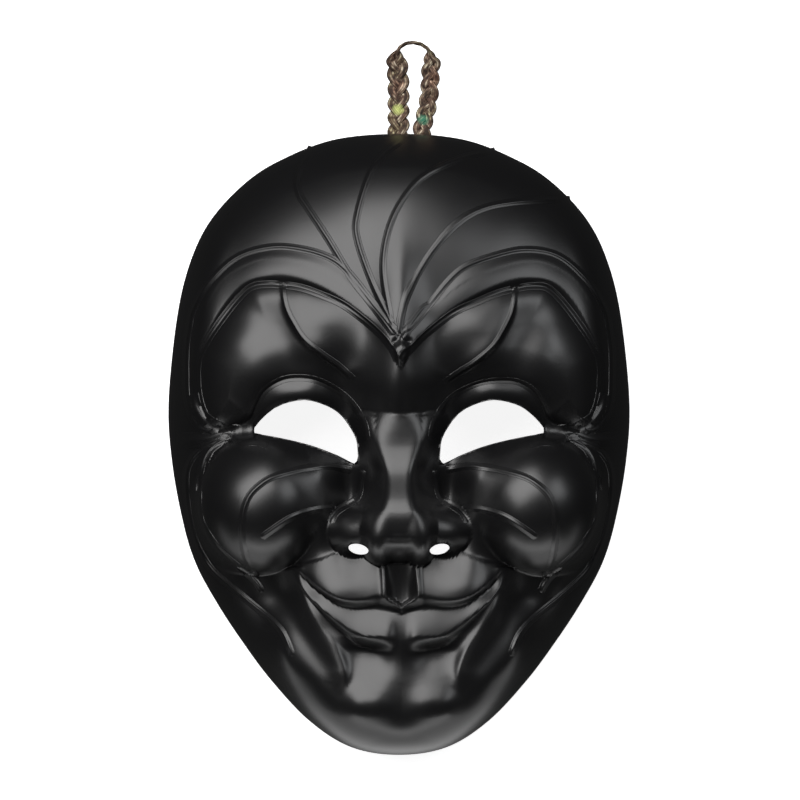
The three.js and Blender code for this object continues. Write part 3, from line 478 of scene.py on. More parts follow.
mouthFrame = [
    (40.2, -46.6), (39.6, -51.1), (38, -57.5), (36, -62), (33.3, -66.6), (30.6, -71), (26.8, -76.2),
    (23.8, -81.7), (22.4, -87), (22.9, -92), (24.8, -96.5),
]
jawFold = [(53, -58), (51, -62.5), (44.7, -71), (40.6, -78), (36, -85.5), (30.5, -92.5), (25, -99)]
# the knot of ridges at the outer corner of the eye, each with its height and half width
knot = [
    ([(55.5, 5), (61, 4.2), (67, 4.6), (73, 2.6), (80, 1.4), (87, 1.8)], 1.0, 1.5),
    ([(67, 4.6), (71, 6.8), (75, 9.4), (78.6, 14), (80.3, 20)], 0.8, 1.5),
    ([(66.5, 4.4), (70.5, 5.6), (74.5, 5.4), (79, 7)], 0.5, 0.9),
    ([(67, 4.6), (69, 1.6), (72.8, -1.6), (75.6, -7)], 0.6, 1.1),
    ([(66, 4), (60, 1.6), (55, 1.8), (49, 0)], 0.5, 1.1),
]
# lines of the forehead, not mirrored
swirls = [
    [(-1.5, 41.4), (-11.2, 54.6), (-18.2, 63.9), (-27.1, 78.6), (-35.2, 91), (-38.3, 96), (-39.1, 103),
     (-33.7, 115)],
    [(-2.3, 45.3), (-10.1, 61.5), (-16.1, 79), (-15.9, 88.6), (-11.2, 103.7), (-5, 112.3), (3.5, 118.5)],
    [(-3.1, 47.2), (-6, 64.3), (-5.4, 76.3), (-1.9, 87.9), (4.3, 97.9), (11.2, 104.1), (23.6, 109.9),
     (37.2, 113.4)],
    [(-0.4, 41.8), (0.8, 49.5), (3.1, 58.8), (8.1, 69.7), (16.6, 81.3), (29.4, 89.4), (43, 92.9),
     (66.2, 94.5)],
    [(1.5, 40.3), (4.3, 48), (8.9, 54.6), (12.8, 56.9)],
]
mouth = dict(
    shift=1, shiftFrom=(-40, -58),  # the mouth and the chin sit a little to one side
    corner=(41, 32), topFade=4, least=0.8,
    lowerLip=3, straight=0.75,  # the lower lip's row, and how straight the lip is down to it
    parting=1.9, partingHalf=3.8,
)
# the mouth in rows from the nose to the chin: each row's line, and how far it stands out
mouthRows = [
    ([(0, -41.8), (10.5, -41.8), (19, -40.3), (26.7, -40.6), (34.5, -43.4), (39.9, -44.1)], -0.18),
    ([(0, -62), (4.6, -59), (8.6, -57.2), (13.9, -58.5), (20.5, -58.9), (25.8, -57.6), (32.4, -53.6),
      (39.7, -47)], 1.81),
    ([(0, -65), (5.3, -63.8), (11.3, -63.1), (17.9, -63.1), (24.5, -61.6), (29.8, -58.2), (35.1, -53.8),
      (39.9, -48.2)], -1.62),
    ([(0, -74.8), (6, -74.4), (11.3, -73.9), (17.9, -71.5), (24.5, -67.5), (31.1, -62.2), (36.4, -56.9),
      (40.4, -51)], 1.1),
    ([(0, -80.8), (7.3, -80.8), (13.9, -78.8), (21.9, -73.5), (28.5, -66.9), (35.1, -59.6),
      (40.4, -53)], -1.06),
    ([(0, -92), (11.2, -91), (20.9, -87), (30.6, -79), (38.3, -68), (41.4, -58)], 0),
]
# heights of the carved edges, with their widths and the shares of their length over which they thin out
carving = dict(
    bulb=6.7, bulbWidth=(5.2, 9.1), bulbFrom=(12, 40), bulbReach=30,
    bladeLip=1.3, bladeLipShape=(4.6, 1, 0.1, 0.3),
    groove=4.6, grooveHalf=4.9, grooveDeepens=(-42, -62), grooveEnd=(-0.4, 1.2),
    strip=1.3, stripAt=6.4, stripHalf=1.25, stripTop=(-43, -48), stripFoot=(-62, -56),
    shelf=0.79, shelfShape=(5, 0.9, 0.1, 0.3),
    frame=1.8, frameShape=(5, 2.4, 0.02, 0.2),
    fold=1.18, foldShape=(5, 0.25, 0.25),
)
# the eyelid: how steeply it sinks before its crest and past it, and the line that its upper half is above
lid = dict(
    slope=-0.2, fall=0.4, crest=0.62, lower=0.3, rounding=0.5, blend=0.3, edge=(0, 0.3),
    upperFrom=((14, 57), (-6, 4.5)), upperOver=(-3, 3),
)
# soft swellings and hollows of the whole face
swellings = [
    dict(at=(0, 96.3), half=(35.6, 60), height=6.6),
    dict(at=(0, 45.4), half=(8.6, 26.3), height=6.75),
    dict(at=(0, -71.6), half=(21.8, 12.1), height=3.39),
    dict(at=(39.8, 3.4), half=(24.3, 9.1), turn=-4, height=-10.73),
    dict(at=(19.8, 13.7), half=(10.5, 9.6), height=-5.89),
    dict(at=(19.6, -18.7), half=(8, 19.9), height=-12),
    dict(at=(0, 23), half=(11.3, 13.1), height=3.38),
    dict(at=(23.4, 24.5), half=(8, 10.5), height=-5.25),
    dict(at=(47.2, 49.7), half=(16, 9), height=-4.61),
    dict(at=(60.9, 14.9), half=(11.6, 10), height=-3.49),
    dict(at=(43.9, 39.1), half=(12.6, 8), height=-3.8),
    dict(at=(26.3, 43.1), half=(8.1, 8), height=-0.55),
    dict(at=(39.7, 30.2), half=(16.7, 8.3), height=-5.46),
    dict(at=(30.1, -24.8), half=(9, 10.7), height=5.13),
    dict(at=(57.1, -10.5), half=(26.5, 9.1), height=9.2),
    dict(at=(55, -44.9), half=(18.9, 10.4), height=-6.09),
    dict(at=(26, -55.8), half=(12, 12.6), height=3.33),
    dict(at=(47.5, -86.3), half=(8.2, 14.8), height=5.58),
    dict(at=(47, -58.4), half=(10, 9.1), height=-6.09),
    dict(at=(79.7, 53.2), half=(11.4, 60), height=6.16),
    dict(at=(48.1, 32.3), half=(13.6, 8.6), height=1.53),
]
# the rounded masses of the cheek and of the nose
masses = [dict(at=(51.9, -22.3, 53.3), half=(25, 26.7, 30.8), turn=5.6, blend=6.2)]
noseMasses = [
    dict(at=(17, -33.1, 57.4), half=(10.9, 10.6, 19.2), blend=10.8),
    dict(at=(7.8, -33.7, 67.7), half=(8.1, 12.9, 19.2), blend=3.8),
    dict(at=(0, -36.6, 65.9), half=(9.8, 9.1, 17), blend=5.2),
]
# the bridge of the nose: up the face, its crest, the half width of its top and the slope of its flanks
bridge = dict(
    crest=[
        (-46, 60), (-40, 80), (-36, 85.4), (-34, 86.4), (-31, 87.1), (-28.5, 87.4), (-26.5, 87.3),
        (-25, 86.98), (-22, 85.77), (-19, 83.97), (-13, 79.85), (-10, 78.12), (-7, 76.94), (-4, 76.11),
        (-1, 75.5), (2, 75.3), (6, 75.25), (10, 75.1), (11.4, 74.7), (13.2, 73), (16.5, 67), (24, 50),
        (40, 10), (60, -30),
    ],
    edge=[
        (-40, 7), (-28, 7.9), (-22, 6), (-16, 5), (-11, 5.4), (-7, 6.8), (-2, 9), (4, 11.4), (12, 12.6),
        (32, 14),
    ],
    flank=[
        (-40, 1.12), (-30, 1.5), (-26, 1.75), (-22, 2.1), (-16, 2.4), (-9, 2.5), (-3, 2.2), (10, 1.78),
        (32, 0.78),
    ],
    bend=0.0465, bendFrom=-2, bendOver=14, bendHalf=9,
    blend=(4, 1.4), blendFrom=(-8, 5),
    seam=1.5,  # rounds the masses of the nose where both halves meet
)
# the two lobes of the chin: height along the face and middle and half width across it
chin = dict(
    rise=[
        (-118, 0), (-112, 0.3), (-107, 1.2), (-103, 2.2), (-99, 2.4), (-95, 1.4), (-90, -0.4), (-85, -2),
        (-81, -3), (-78.5, -3.1), (-76, -1.6), (-73.5, 0),
    ],
    at=13, half=8.6,
)
nib = dict(
    at=(0.8, 34.6), half=(2.5, 4.6), taper=0.22, height=1.5,
    pits=[(-1.3, 39.3), (3.6, 39.4)], pitSize=1.3, pitDepth=1.1,
)

mirrored = [(-x, y) for x, y in outlineHalf[-2:0:-1]]
rimLine = smoothLine(outlineHalf + mirrored, closed=True, steps=16)
eyeLine = smoothLine(eyeOpening, closed=True, steps=8)
lidLine = smoothLine(lidOutline, closed=True)
browEdges = [smoothLine(line) for line, _ in browRows]
bladeLip = smoothLine(bladeFoot[::-1])
tall, wide = lines["fine"]
strong = lines["strongCheek"] * tall
# each line with its height, its half width and the shares of its length over which it thins out
fineEdges = [(smoothLine(line), strong, wide, 0.05, 0.05) for line in (cheekLine, jawLine)]
plainLines = (smileCrease, cheekCrease, noseLine, bulbLine, bladeTop, browRows[0][0])
fineEdges += [(smoothLine(line), tall, wide, 0.05, 0.05) for line in plainLines]
fineEdges.append((smoothLine(bladeFoot), lines["bladeFoot"] * tall, wide, 0.05, 0.3))
fineEdges.append((smoothLine(lidOutline[:12]), lines["lid"], wide, 0.05, 0.05))
fineEdges += [(smoothLine(line), height, width, 0.02, 0.3) for line, height, width in knot]
swirlEdges = [(smoothLine(line), *lines["swirl"], 0.02, 0.1) for line in swirls]
shelfEdge, frameEdge, jawEdge = smoothLine(lipShelf), smoothLine(mouthFrame), smoothLine(jawFold)
bridgeLines = [smoothLine(bridge[name]) for name in ("crest", "edge", "flank")]
fullnessLine = smoothLine(shell["fullness"], steps=12)
chinLine = smoothLine(chin["rise"])
rowEdges = [smoothLine(line, steps=10) for line, _ in mouthRows]

# the mass over the eyes: bulb and blade in one, from the top of the blade down to the eyelid
massHalf = bladeTop[::-1] + bulbLine + [(66, 6.5)] + lidOutline[1:10] + [(12, 14)]
otherHalf = [(-x, y) for x, y in massHalf[::-1]]
browMass = smoothLine([(0, 30)] + massHalf + [(0, 12)] + otherHalf, closed=True)

# the rim's directions from the middle, and how far it is in each
rimX, rimY = rimLine[:-1].T
rimAngles, rimReaches = np.arctan2(rimY, rimX), np.hypot(rimX, rimY)


def rimReach(x, y):
    # How far the rim is from the middle in the direction of a place
    return np.interp(np.arctan2(y, x), rimAngles, rimReaches, period=2 * np.pi)


def browShift(x, y):
    # The carving of one brow sits a little lower beside the nose
    across = between(*brow["dropIn"], x) * (1 - between(*brow["dropOut"], x))
    return brow["drop"] * across * between(*brow["dropFoot"], y) * (1 - between(*brow["dropTop"], y))


def overRows(height, at, rows, outs, least, special):
    # In each gap between two rows the height goes from one row's to the next one's along an S curve,
    # and in the special gap along a curve of its own.
    for i in range(len(rows) - 1):
        share = np.clip((rows[i] - at) / np.maximum(rows[i] - rows[i + 1], least), 0, 1)
        rise = special[1](share) if i == special[0] else between(0, 1, share)
        inside = (at <= rows[i]) & (at > rows[i + 1])
        height = np.where(inside, outs[i] + (outs[i + 1] - outs[i]) * rise, height)
    return height


def mouthHeight(u, y):
    # The lips, in rows from the nose to the chin, with a straighter slope down to the lower lip, which is
    # parted in the middle. All of it dies out at the corners of the mouth.
    lip, straight = mouth["lowerLip"], mouth["straight"]
    rows = [np.interp(u, edge[:, 0], edge[:, 1]) for edge in rowEdges]
    outs = [out for _, out in mouthRows]
    height = np.where(y > rows[0], outs[0] * bell((y - rows[0]) / mouth["topFade"]), 0)
    outs[lip] = outs[lip] - mouth["parting"] * np.exp(-((u / mouth["partingHalf"]) ** 3))
    straighter = lambda share: (1 - straight) * between(0, 1, share) + straight * share
    height = overRows(height, y, rows, outs, mouth["least"], (lip - 1, straighter))
    return height * between(*mouth["corner"], u)


def browHeight(u, y):
    # The moulding over the eye. Its rows are arcs round the eye, so each is a distance from the eye's
    # middle for every direction. From the outermost row in, the height rises along an S curve, climbs
    # a rounded band, and drops into the groove beside the cushion.
    cx, cy = brow["middle"]
    turn, far = np.degrees(np.arctan2(y - cy, u - cx)), np.hypot(u - cx, y - cy)
    turn = np.where(turn < -90, turn + 360, turn)
    rows = []
    for edge in browEdges:
        angle = np.degrees(np.arctan2(edge[:, 1] - cy, edge[:, 0] - cx))
        rows.append(np.interp(turn, angle, np.hypot(edge[:, 0] - cx, edge[:, 1] - cy)))
    outs = [out for _, out in browRows]
    rounded = lambda share: 1 - (1 - share) ** brow["roundness"]
    height = overRows(np.zeros(u.shape), far, rows, outs, brow["least"], (1, rounded))
    height = np.where(far <= rows[3], outs[3] * bell((rows[3] - far) / brow["innerFade"]), height)
    return height * between(*brow["tail"], turn) * between(*brow["end"], turn)


def lidHeight(u, y):
    # The eyelid: from its outer line it sinks inward at an even slope, gentler under the eye, and from
    # its crest on more steeply down to the opening.
    depth = np.clip(-signedDistance(lidLine, u, y), 0, None)
    depth = np.hypot(depth, lid["rounding"]) - lid["rounding"]
    gap = np.clip(signedDistance(eyeLine, u, y), 0, None)
    wide = depth + gap
    upper = between(*lid["upperOver"], y - np.interp(u, *lid["upperFrom"]))
    slope = lid["slope"] * (lid["lower"] + (1 - lid["lower"]) * upper)
    crest = lid["crest"] * wide
    inner = slope * crest - lid["fall"] * (wide - crest - gap)
    return -smoothMax(-slope * depth, -inner, lid["blend"]) * between(*lid["edge"], depth)


def noseHeight(u, y):
    # The bridge: a crest that is flat across at first and falls away straight from its edge on. Towards
    # its upper end it is also bent down at both sides, by the square of the distance from the middle.
    crest, edge, flank = (np.interp(y, line[:, 0], line[:, 1]) for line in bridgeLines)
    bend = bridge["bend"] * np.clip((y - bridge["bendFrom"]) / bridge["bendOver"], 0, 1) ** 1.5
    bend *= np.clip(u, 0, bridge["bendHalf"]) ** 2
    return crest - bend - flank * edge * ((1 + (u / edge) ** 6) ** (1 / 6) - 1)


def lipHeight(u, y):
    # Below the nose: a groove with a flat floor that deepens downwards, between two raised strips, the
    # edges that frame the mouth, the fold of the jaw and the two lobes of the chin.
    c = carving
    toLip = y - np.interp(u, rowEdges[1][:, 0], rowEdges[1][:, 1])
    groove = -c["groove"] * between(*c["grooveDeepens"], y) * between(*c["grooveEnd"], toLip)
    groove *= np.exp(-((u / c["grooveHalf"]) ** 4))
    ridge = c["strip"] * bell((u - c["stripAt"]) / c["stripHalf"])
    ridge = ridge * between(*c["stripTop"], y) * between(*c["stripFoot"], y)
    edges = c["shelf"] * step(shelfEdge, u, y, *c["shelfShape"])
    edges += c["frame"] * step(frameEdge, u, y, *c["frameShape"])
    fold = c["fold"] * raised(jawEdge, u, y, *c["foldShape"])
    lobes = np.interp(y, chinLine[:, 0], chinLine[:, 1])
    lobes *= np.exp(-(np.abs((u - chin["at"]) / chin["half"]) ** 3))
    return groove + ridge + edges + fold + lobes


def lineHeight(x, u, y):
    # The fine raised lines, and the swirling ones of the forehead
    fine = [height * raised(line, u, y, width, *fades) for line, height, width, *fades in fineEdges]
    swirl = [height * raised(line, x, y, width, *fades) for line, height, width, *fades in swirlEdges]
    return np.max(fine + swirl, axis=0)


def nibHeight(x, y):
    # The point where the brows meet: a flat wedge that narrows downwards between two small pits
    across, up = x - nib["at"][0], y - nib["at"][1]
    q = np.hypot(across / (nib["half"][0] + nib["taper"] * up), up / nib["half"][1])
    pits = sum(bell(np.hypot(x - px, y - py) / nib["pitSize"]) for px, py in nib["pits"])
    return nib["height"] * np.exp(-(np.clip(q, 0, 3) ** 6)) - nib["pitDepth"] * pits


def faceHeight(x, placeY, relief=1):
    # Height of the outer face over the plane of the rim: a dome that stands up steeply from the rim,
    # with the swellings, the brow, the cushions and the eyelids added, then the cheeks and the nose
    # joined on by a rounded largest-of, then the mouth, the chin and the nib added. All of it fades back
    # to the dome near the rim. The thin raised lines come last: relief is their share, and below 0 they
    # are dents.
    share = np.clip(np.hypot(x, placeY) / rimReach(x, placeY), 0, 1)
    power, root = (np.interp(placeY, fullnessLine[:, 0], fullnessLine[:, i]) for i in (1, 2))
    dome = shell["domeDepth"] * (1 - share**power) ** (1 / root)
    u = np.abs(x - mouth["shift"] * between(*mouth["shiftFrom"], placeY))
    y = placeY + browShift(x, placeY)
    swell = lambda s, u: s["height"] * bell(inEllipse(u, y, s["at"], s["half"], s.get("turn", 0)))
    height = dome + sum(swell(s, u) for s in swellings)
    for s in swellings:
        if 0 < s["at"][0] < shell["crossingTo"]:
            height += swell(s, -u)
    height += browHeight(u, y)
    depth = np.clip(-signedDistance(browMass, u, y, carving["bulbReach"]), 0, None)
    bulb = between(*carving["bulbFrom"], u)
    narrow, wide = carving["bulbWidth"]
    height += carving["bulb"] * bulb * cushion(depth, narrow + wide * bulb)
    height += carving["bladeLip"] * step(bladeLip, u, y, *carving["bladeLipShape"])
    height += lidHeight(u, y)
    for m in masses:
        height = smoothMax(height, egg(u, y, **m), m["blend"])
    soft, crisp = bridge["blend"]
    height = smoothMax(height, noseHeight(u, y), soft - (soft - crisp) * between(*bridge["blendFrom"], y))
    for m in noseMasses:
        height = smoothMax(height, egg(np.hypot(u, bridge["seam"]), y, **m), m["blend"])
    height += mouthHeight(u, y) + lipHeight(u, y)
    height += nibHeight(x, placeY)
    height = dome + between(1, shell["sideBlend"], share) * (height - dome)
    if relief:
        growth = 1 + lines["growth"] * between(*lines["growthFrom"], share)
        height += relief * (lineHeight(x, u, y) * growth) * between(*lines["fade"], share)
    return height


def innerHeight(x, y):
    # Height of the inner face: where a ball as thick as the wall, rolled under the outer face, lies
    height, wall = np.full(x.shape, np.inf), shell["wall"]
    for reach in shell["ballRings"]:
        for angle in np.arange(8 if reach else 1) * np.pi / 4:
            px, py = x + wall * reach * np.cos(angle), y + wall * reach * np.sin(angle)
            inside = np.hypot(px, py) < rimReach(px, py)
            under = np.where(inside, faceHeight(px, py, 0), 0) - wall * np.sqrt(1 - reach**2)
            height = np.minimum(height, under)
    return np.maximum(height, shell["innerLeast"])


def openings(x, y, room):
    # Distance to the nearest edge of a hole, below 0 inside it. The nostrils are given some more room.
    u = np.abs(x)
    fromNostril = (inEllipse(u, y, **nostril) - 1) * nostril["half"][1]
    return np.minimum(signedDistance(eyeLine, u, y), fromNostril - room)


def halves(a, b, c, d):
    # The two triangles of each four-sided cell, from its corners
    return np.concatenate([np.stack(three, -1).reshape(-1, 3) for three in ((a, b, c), (a, c, d))])


def roundGrid(columns, rows, inset):
    # A square grid wrapped into the outline: each square ring of the grid becomes a ring of the outline,
    # with the square's corners on the diagonals, and the rings crowd together towards the rim.
    a, b = np.meshgrid(np.linspace(-1, 1, columns + 1), np.linspace(-1, 1, rows + 1))
    ring = np.maximum(np.abs(a), np.abs(b))
    safe = lambda value: np.where(value == 0, 1, value)
    wide = np.abs(a) >= np.abs(b)
    turn = np.where(wide, np.pi / 4 * b / safe(a), np.pi / 2 - np.pi / 4 * a / safe(b))
    turn += np.where(wide & (a < 0) | ~wide & (b < 0), np.pi, 0)
    crowd = shell["ringCrowding"]
    share = (1 + crowd) * ring - crowd * ring**10
    px, py = np.cos(turn) * shell["half"][0], np.sin(turn) * shell["half"][1]
    reach = rimReach(px, py) - inset
    angle = np.arctan2(py, px)
    plan = np.stack([share * reach * np.cos(angle), share * reach * np.sin(angle)], -1).reshape(-1, 2)
    n = np.arange((rows + 1) * (columns + 1)).reshape(rows + 1, columns + 1)
    triangles = halves(n[:-1, :-1], n[:-1, 1:], n[1:, 1:], n[1:, :-1])
    edge = np.concatenate([n[0, :-1], n[:-1, -1], n[-1, :0:-1], n[:0:-1, 0]])
    return plan, triangles, edge


def edgesOf(triangles):
    # The three directed edges of each triangle
    return np.concatenate([triangles[:, [i, (i + 1) % 3]] for i in range(3)])


def cutHoles(plan, triangles, spacing, room):
    # Corners close to a hole's edge are moved onto it; a triangle that the edge crosses is cut there,
    # and what lies in the hole is dropped.
    side = openings(*plan.T, room)
    close = np.abs(side) < shell["snap"] * spacing
    for _ in range(3):
        p, e = plan[close], 0.02
        here = openings(*p.T, room)
        slope = np.stack([openings(p[:, 0] + e, p[:, 1], room), openings(p[:, 0], p[:, 1] + e, room)], -1)
        slope = (slope - here[:, None]) / e
        plan[close] = p - slope * (here / np.maximum((slope**2).sum(-1), 1e-3))[:, None]
    side[close] = 0
    kept = side[triangles]
    outside = openings(*plan[triangles].mean(1).T, room) > 0
    whole = triangles[(kept >= 0).all(1) & ((kept > 0).any(1) | outside)]
    crossed = (kept > 0).any(1) & (kept < 0).any(1)
    mixed, kept = triangles[crossed], kept[crossed]
    edges = np.sort(edgesOf(mixed), axis=1)
    edges = np.unique(edges[side[edges[:, 0]] * side[edges[:, 1]] < 0], axis=0)
    t = side[edges[:, 0]] / (side[edges[:, 0]] - side[edges[:, 1]])
    points = plan[edges[:, 0]] + t[:, None] * (plan[edges[:, 1]] - plan[edges[:, 0]])
    keys = edges[:, 0] * len(plan) + edges[:, 1]

    def crossing(a, b):
        return len(plan) + np.searchsorted(keys, np.minimum(a, b) * len(plan) + np.maximum(a, b))

    made = [whole]
    for turn in range(3):
        a, b, c = (mixed[:, (turn + i) % 3] for i in range(3))
        sa, sb, sc = (kept[:, (turn + i) % 3] for i in range(3))
        one = (sa > 0) & (sb < 0) & (sc < 0)
        made.append(np.stack([a[one], crossing(a[one], b[one]), crossing(c[one], a[one])], -1))
        two = (sa < 0) & (sb > 0) & (sc > 0)
        ab, ca = crossing(a[two], b[two]), crossing(c[two], a[two])
        made += [np.stack([ab, b[two], c[two]], -1), np.stack([ab, c[two], ca], -1)]
        on = (sa == 0) & (sb > 0) & (sc < 0)
        made.append(np.stack([a[on], b[on], crossing(b[on], c[on])], -1))
        on = (sa == 0) & (sb < 0) & (sc > 0)
        made.append(np.stack([a[on], crossing(b[on], c[on]), c[on]], -1))
    return np.vstack([plan, points]), np.concatenate(made)


def looseEdges(triangles):
    # The directed edges that only one triangle has
    edges = edgesOf(triangles)
    far = triangles.max() + 1
    keys, back = edges[:, 0] * far + edges[:, 1], edges[:, 1] * far + edges[:, 0]
    return edges[~np.isin(keys, back)]


def bandBetween(first, second, plan, middle):
    # Triangles between two loops round a middle: both loops in the order of their angles, and one
    # triangle for each step along either of them.
    angle = lambda loop: np.arctan2(plan[loop, 1] - middle[1], plan[loop, 0] - middle[0])
    first, second = first[np.argsort(angle(first))], second[np.argsort(angle(second))]
    angles = np.concatenate([angle(first), angle(second)])
    order = np.argsort(angles, kind="stable")
    onFirst = order < len(first)
    a, b = np.cumsum(onFirst), np.cumsum(~onFirst)
    beforeA, beforeB = (a - onFirst - 1) % len(first), (b - ~onFirst - 1) % len(second)
    new = np.where(onFirst, first[(a - 1) % len(first)], second[(b - 1) % len(second)])
    return np.stack([first[beforeA], second[beforeB], new], -1)


def strip(line, side, width):
    # A raised line as a strip with corners at even steps along it and across it, its edges and ends
    # sunk into the face, and closed underneath. The last loop finds the places on the face for the
    # places on the drawing, because one brow and the mouth are shifted.
    before = np.concatenate([[0], np.cumsum(np.hypot(*np.diff(line, axis=0).T))])
    at = np.linspace(0, before[-1], int(before[-1] / lines["step"]) + 2)
    middle = np.stack([np.interp(at, before, line[:, i]) for i in (0, 1)], -1)
    along = unit(np.gradient(middle, axis=0))
    offsets = np.array(lines["across"]) * width
    u = middle[:, :1] - along[:, 1:] * offsets
    y = middle[:, 1:] + along[:, :1] * offsets
    deep = np.zeros(u.shape)
    deep[:, [0, -1]], deep[:, [1, -2]] = lines["sunkFoot"], lines["sunkEdge"]
    deep[[0, -1]] += lines["sunkEnd"]
    rows, columns = u.shape
    n = np.arange(u.size).reshape(rows, columns)
    a, b = n[:-1], n[1:]
    c, d = np.roll(b, -1, 1), np.roll(a, -1, 1)
    ends = [np.stack([np.full(columns - 2, e[0]), e[1:-1], e[2:]], -1) for e in (n[0], n[-1, ::-1])]
    triangles = np.concatenate([halves(a, b, c, d), *ends])
    x, placeY = u, y
    for _ in range(5):
        x = side * u + mouth["shift"] * between(*mouth["shiftFrom"], placeY) if side else u
        placeY = y - browShift(x, placeY)
    return x.ravel(), placeY.ravel(), deep.ravel(), triangles[:, ::-1] if side < 0 else triangles


def slopeNormals(x, y, gap):
    # Across the face at right angles, from the heights a little to all four sides
    a, b, c, d = (faceHeight(x + dx, y + dy, 0) for dx, dy in ((gap, 0), (-gap, 0), (0, gap), (0, -gap)))
    return unit(np.stack([b - a, d - c, np.full(len(x), 2 * gap)], -1))


def setNormals(made, plan, outer, creases):
    # The outer face is shaded by its exact slopes. The side, the strips, the inner face and the bands
    # keep the mesh's own, with sharp edges along the creases.
    x, y = plan.T
    normals = np.zeros((len(plan), 3))  # a normal of zero keeps the mesh's own
    normals[:outer] = slopeNormals(x[:outer], y[:outer], shell["normalGap"])
    normals[np.hypot(x, y) > shell["normalsTo"] * rimReach(x, y)] = 0
    normals[creases] = 0
    edges = np.empty(len(made.data.edges) * 2, np.int32)
    made.data.edges.foreach_get("vertices", edges)
    onCrease = np.isin(edges.reshape(-1, 2), creases).all(1)
    sharp = made.data.attributes.new("sharp_edge", "BOOLEAN", "EDGE")
    sharp.data.foreach_set("value", onCrease)
    made.data.normals_split_custom_set_from_vertices(normals)


def makeShell(s):
    # Outer and inner face are the same round grid in two finenesses, lifted to their heights, and the
    # raised lines lie on the outer one as strips. Bands close the wall round each hole and the rim.
    plans, faces, loops, heights, rims, count = [], [], [], [], [], 0
    for outside in (True, False):
        columns, rows = s["grid"] if outside else s["innerGrid"]
        plan, triangles, rim = roundGrid(columns, rows, 0 if outside else s["wall"])
        room = 0 if outside else s["nostrilRoom"]
        plan, triangles = cutHoles(plan, triangles, s["gridSpan"] / rows, room)
        used = np.unique(triangles)
        place = np.full(len(plan), -1)
        place[used] = np.arange(len(used))
        plan, triangles, rim = plan[used], place[triangles], place[rim]
        height = faceHeight(*plan.T, lines["dent"]) if outside else innerHeight(*plan.T)
        height[rim] = 0
        loose = np.unique(looseEdges(triangles))
        loops.append(np.setdiff1d(loose, rim) + count)
        rims.append(rim + count)
        plans.append(plan)
        heights.append(height)
        faces.append((triangles if outside else triangles[:, ::-1]) + count)
        count += len(plan)
    columns = len(lines["across"])
    for side, edges in ((1, fineEdges), (-1, fineEdges), (0, swirlEdges)):
        for line, _, width, *_ in edges:
            x, y, deep, triangles = strip(line, side, width)
            loops.append(np.arange(len(x)).reshape(-1, columns)[:, [1, -2]].ravel() + count)
            plans.append(np.column_stack([x, y]))
            heights.append(np.maximum(faceHeight(x, y) + lines["lift"] - deep, lines["least"]))
            faces.append(triangles + count)
            count += len(x)
    plan = np.vstack(plans)
    for side in (-1, 1):
        for (across, up), reach in holeBands:
            at = (across * side, up)
            first, second = (loop[np.hypot(*(plan[loop] - at).T) < reach] for loop in loops[:2])
            faces.append(bandBetween(first, second, plan, at))
    faces.append(bandBetween(rims[1], rims[0], plan, (0, 0)))
    points = np.column_stack([plan, np.concatenate(heights)]) * mm
    made = makeMesh("shell_skin", points, np.concatenate(faces))
    setNormals(made, plan, len(plans[0]), np.concatenate(loops + rims))
    return made


shellSkin = makeShell(shell)
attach(shellSkin, "root")
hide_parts("mask_shell")
print("shell:", len(shellSkin.data.polygons), "triangles")

# Satin black plastic
shellLook = dict(
    colour=(0.003, 0.003, 0.0033, 1), shine=0.5,
    roughness=0.35, patches=0.06, patchSize=60, grains=0.04, grainSize=900,
    bump=0.02, bumpDepth=0.0004,
)


def makeShellLook(s):
    # One deep black, a little rougher in soft patches and in a fine grain
    g = Graph("satinBlack")
    place = g.node("ShaderNodeTexCoord", {}, {}, "Object")
    patches = g.node("ShaderNodeTexNoise", {}, dict(Vector=place, Scale=s["patchSize"], Detail=3))
    grain = g.node("ShaderNodeTexNoise", {}, dict(Vector=place, Scale=s["grainSize"], Detail=2))
    bump = g.node("ShaderNodeBump", {}, dict(Strength=s["bump"], Distance=s["bumpDepth"], Height=grain))
    rough = s["roughness"] + s["patches"] * (patches - 0.5) + s["grains"] * (grain - 0.5)
    g.set(Base_Color=s["colour"], Roughness=rough, Normal=bump, Specular_IOR_Level=s["shine"])
    return g.material


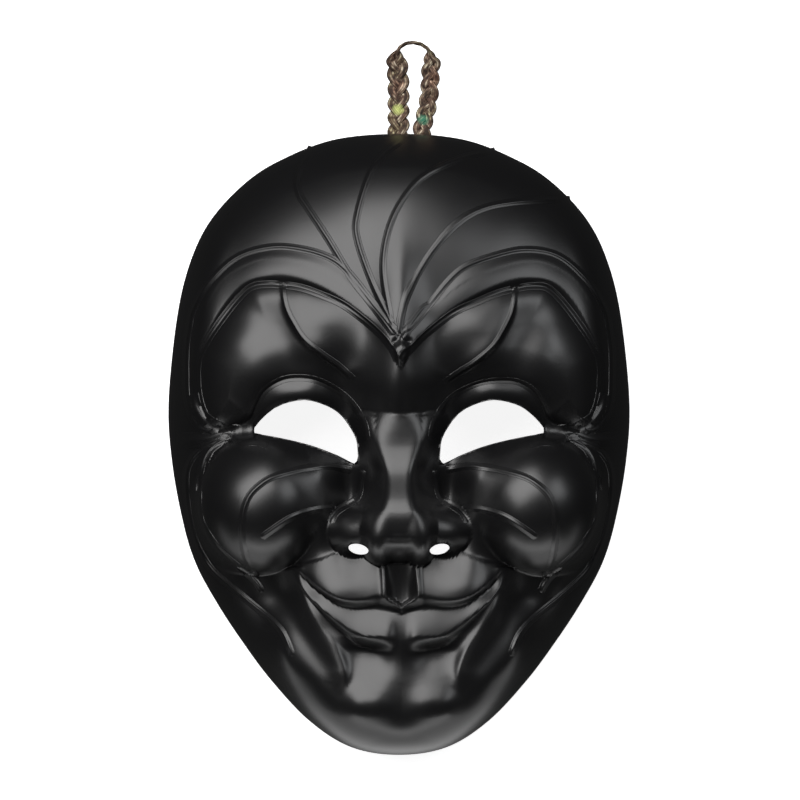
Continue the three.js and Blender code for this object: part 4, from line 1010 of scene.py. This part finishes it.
shellSkin.data.materials.append(makeShellLook(shellLook))

# Floor and light
stage = dict(floor=(0.6, 0.6, 0.6, 1), roughness=0.9, glow=0.9, size=8, ambient=(0.025, 0.025, 0.025, 1))


def makeFloor(s):
    # A pale table that glows a little, so it stays bright behind the openings too
    half = s["size"] / 2
    corners = np.array([(-half, -half, 0), (half, -half, 0), (half, half, 0), (-half, half, 0)])
    floor = makeMesh("floor", corners, np.array([[0, 1, 2, 3]]))
    g = Graph("paleFloor")
    g.set(Base_Color=s["floor"], Roughness=s["roughness"])
    g.set(Emission_Color=(1, 1, 1, 1), Emission_Strength=s["glow"])
    floor.data.materials.append(g.material)
    floor.visible_glossy = floor.visible_diffuse = False


lights = [
    dict(name="softboxAbove", at=(-0.35, 0.56, 0.98), size=(1.5, 0.99), power=29, colour=(1, 0.99, 0.985)),
    dict(name="softboxRight", at=(0.91, 0.44, 0.76), size=(0.6, 0.6), power=4.6, colour=(0.97, 0.985, 1)),
    dict(name="fillBelow", at=(0, -1.2, 0.1), size=(1.8, 0.3), power=6, colour=(1, 1, 1)),
    dict(name="tableGlow", at=(0, -0.31, 0.002), size=(0.7, 0.36), power=0.8, colour=(1, 1, 1),
         aim=(0, -0.31, 1)),
]


def makeLight(s):
    # A softbox that faces the mask, or its own aim where it has one
    data = bpy.data.lights.new(s["name"], "AREA")
    data.shape = "RECTANGLE"
    data.size, data.size_y = s["size"]
    data.energy, data.color = s["power"], s["colour"]
    lamp = bpy.data.objects.new(s["name"], data)
    lamp.location = s["at"]
    lamp.visible_camera = False
    aim = np.array(s.get("aim", (0, 0, 0.05))) - np.array(s["at"])
    lamp.rotation_euler = Vector(aim).to_track_quat("-Z", "Y").to_euler()
    scene.collection.objects.link(lamp)


makeFloor(stage)
for light in lights:
    makeLight(light)
world = bpy.data.worlds.new("studio")
world.use_nodes = True
world.node_tree.nodes["Background"].inputs[0].default_value = stage["ambient"]
scene.world = world
scene.view_settings.view_transform = "Standard"
print("stage: a pale floor and", len(lights), "lights")
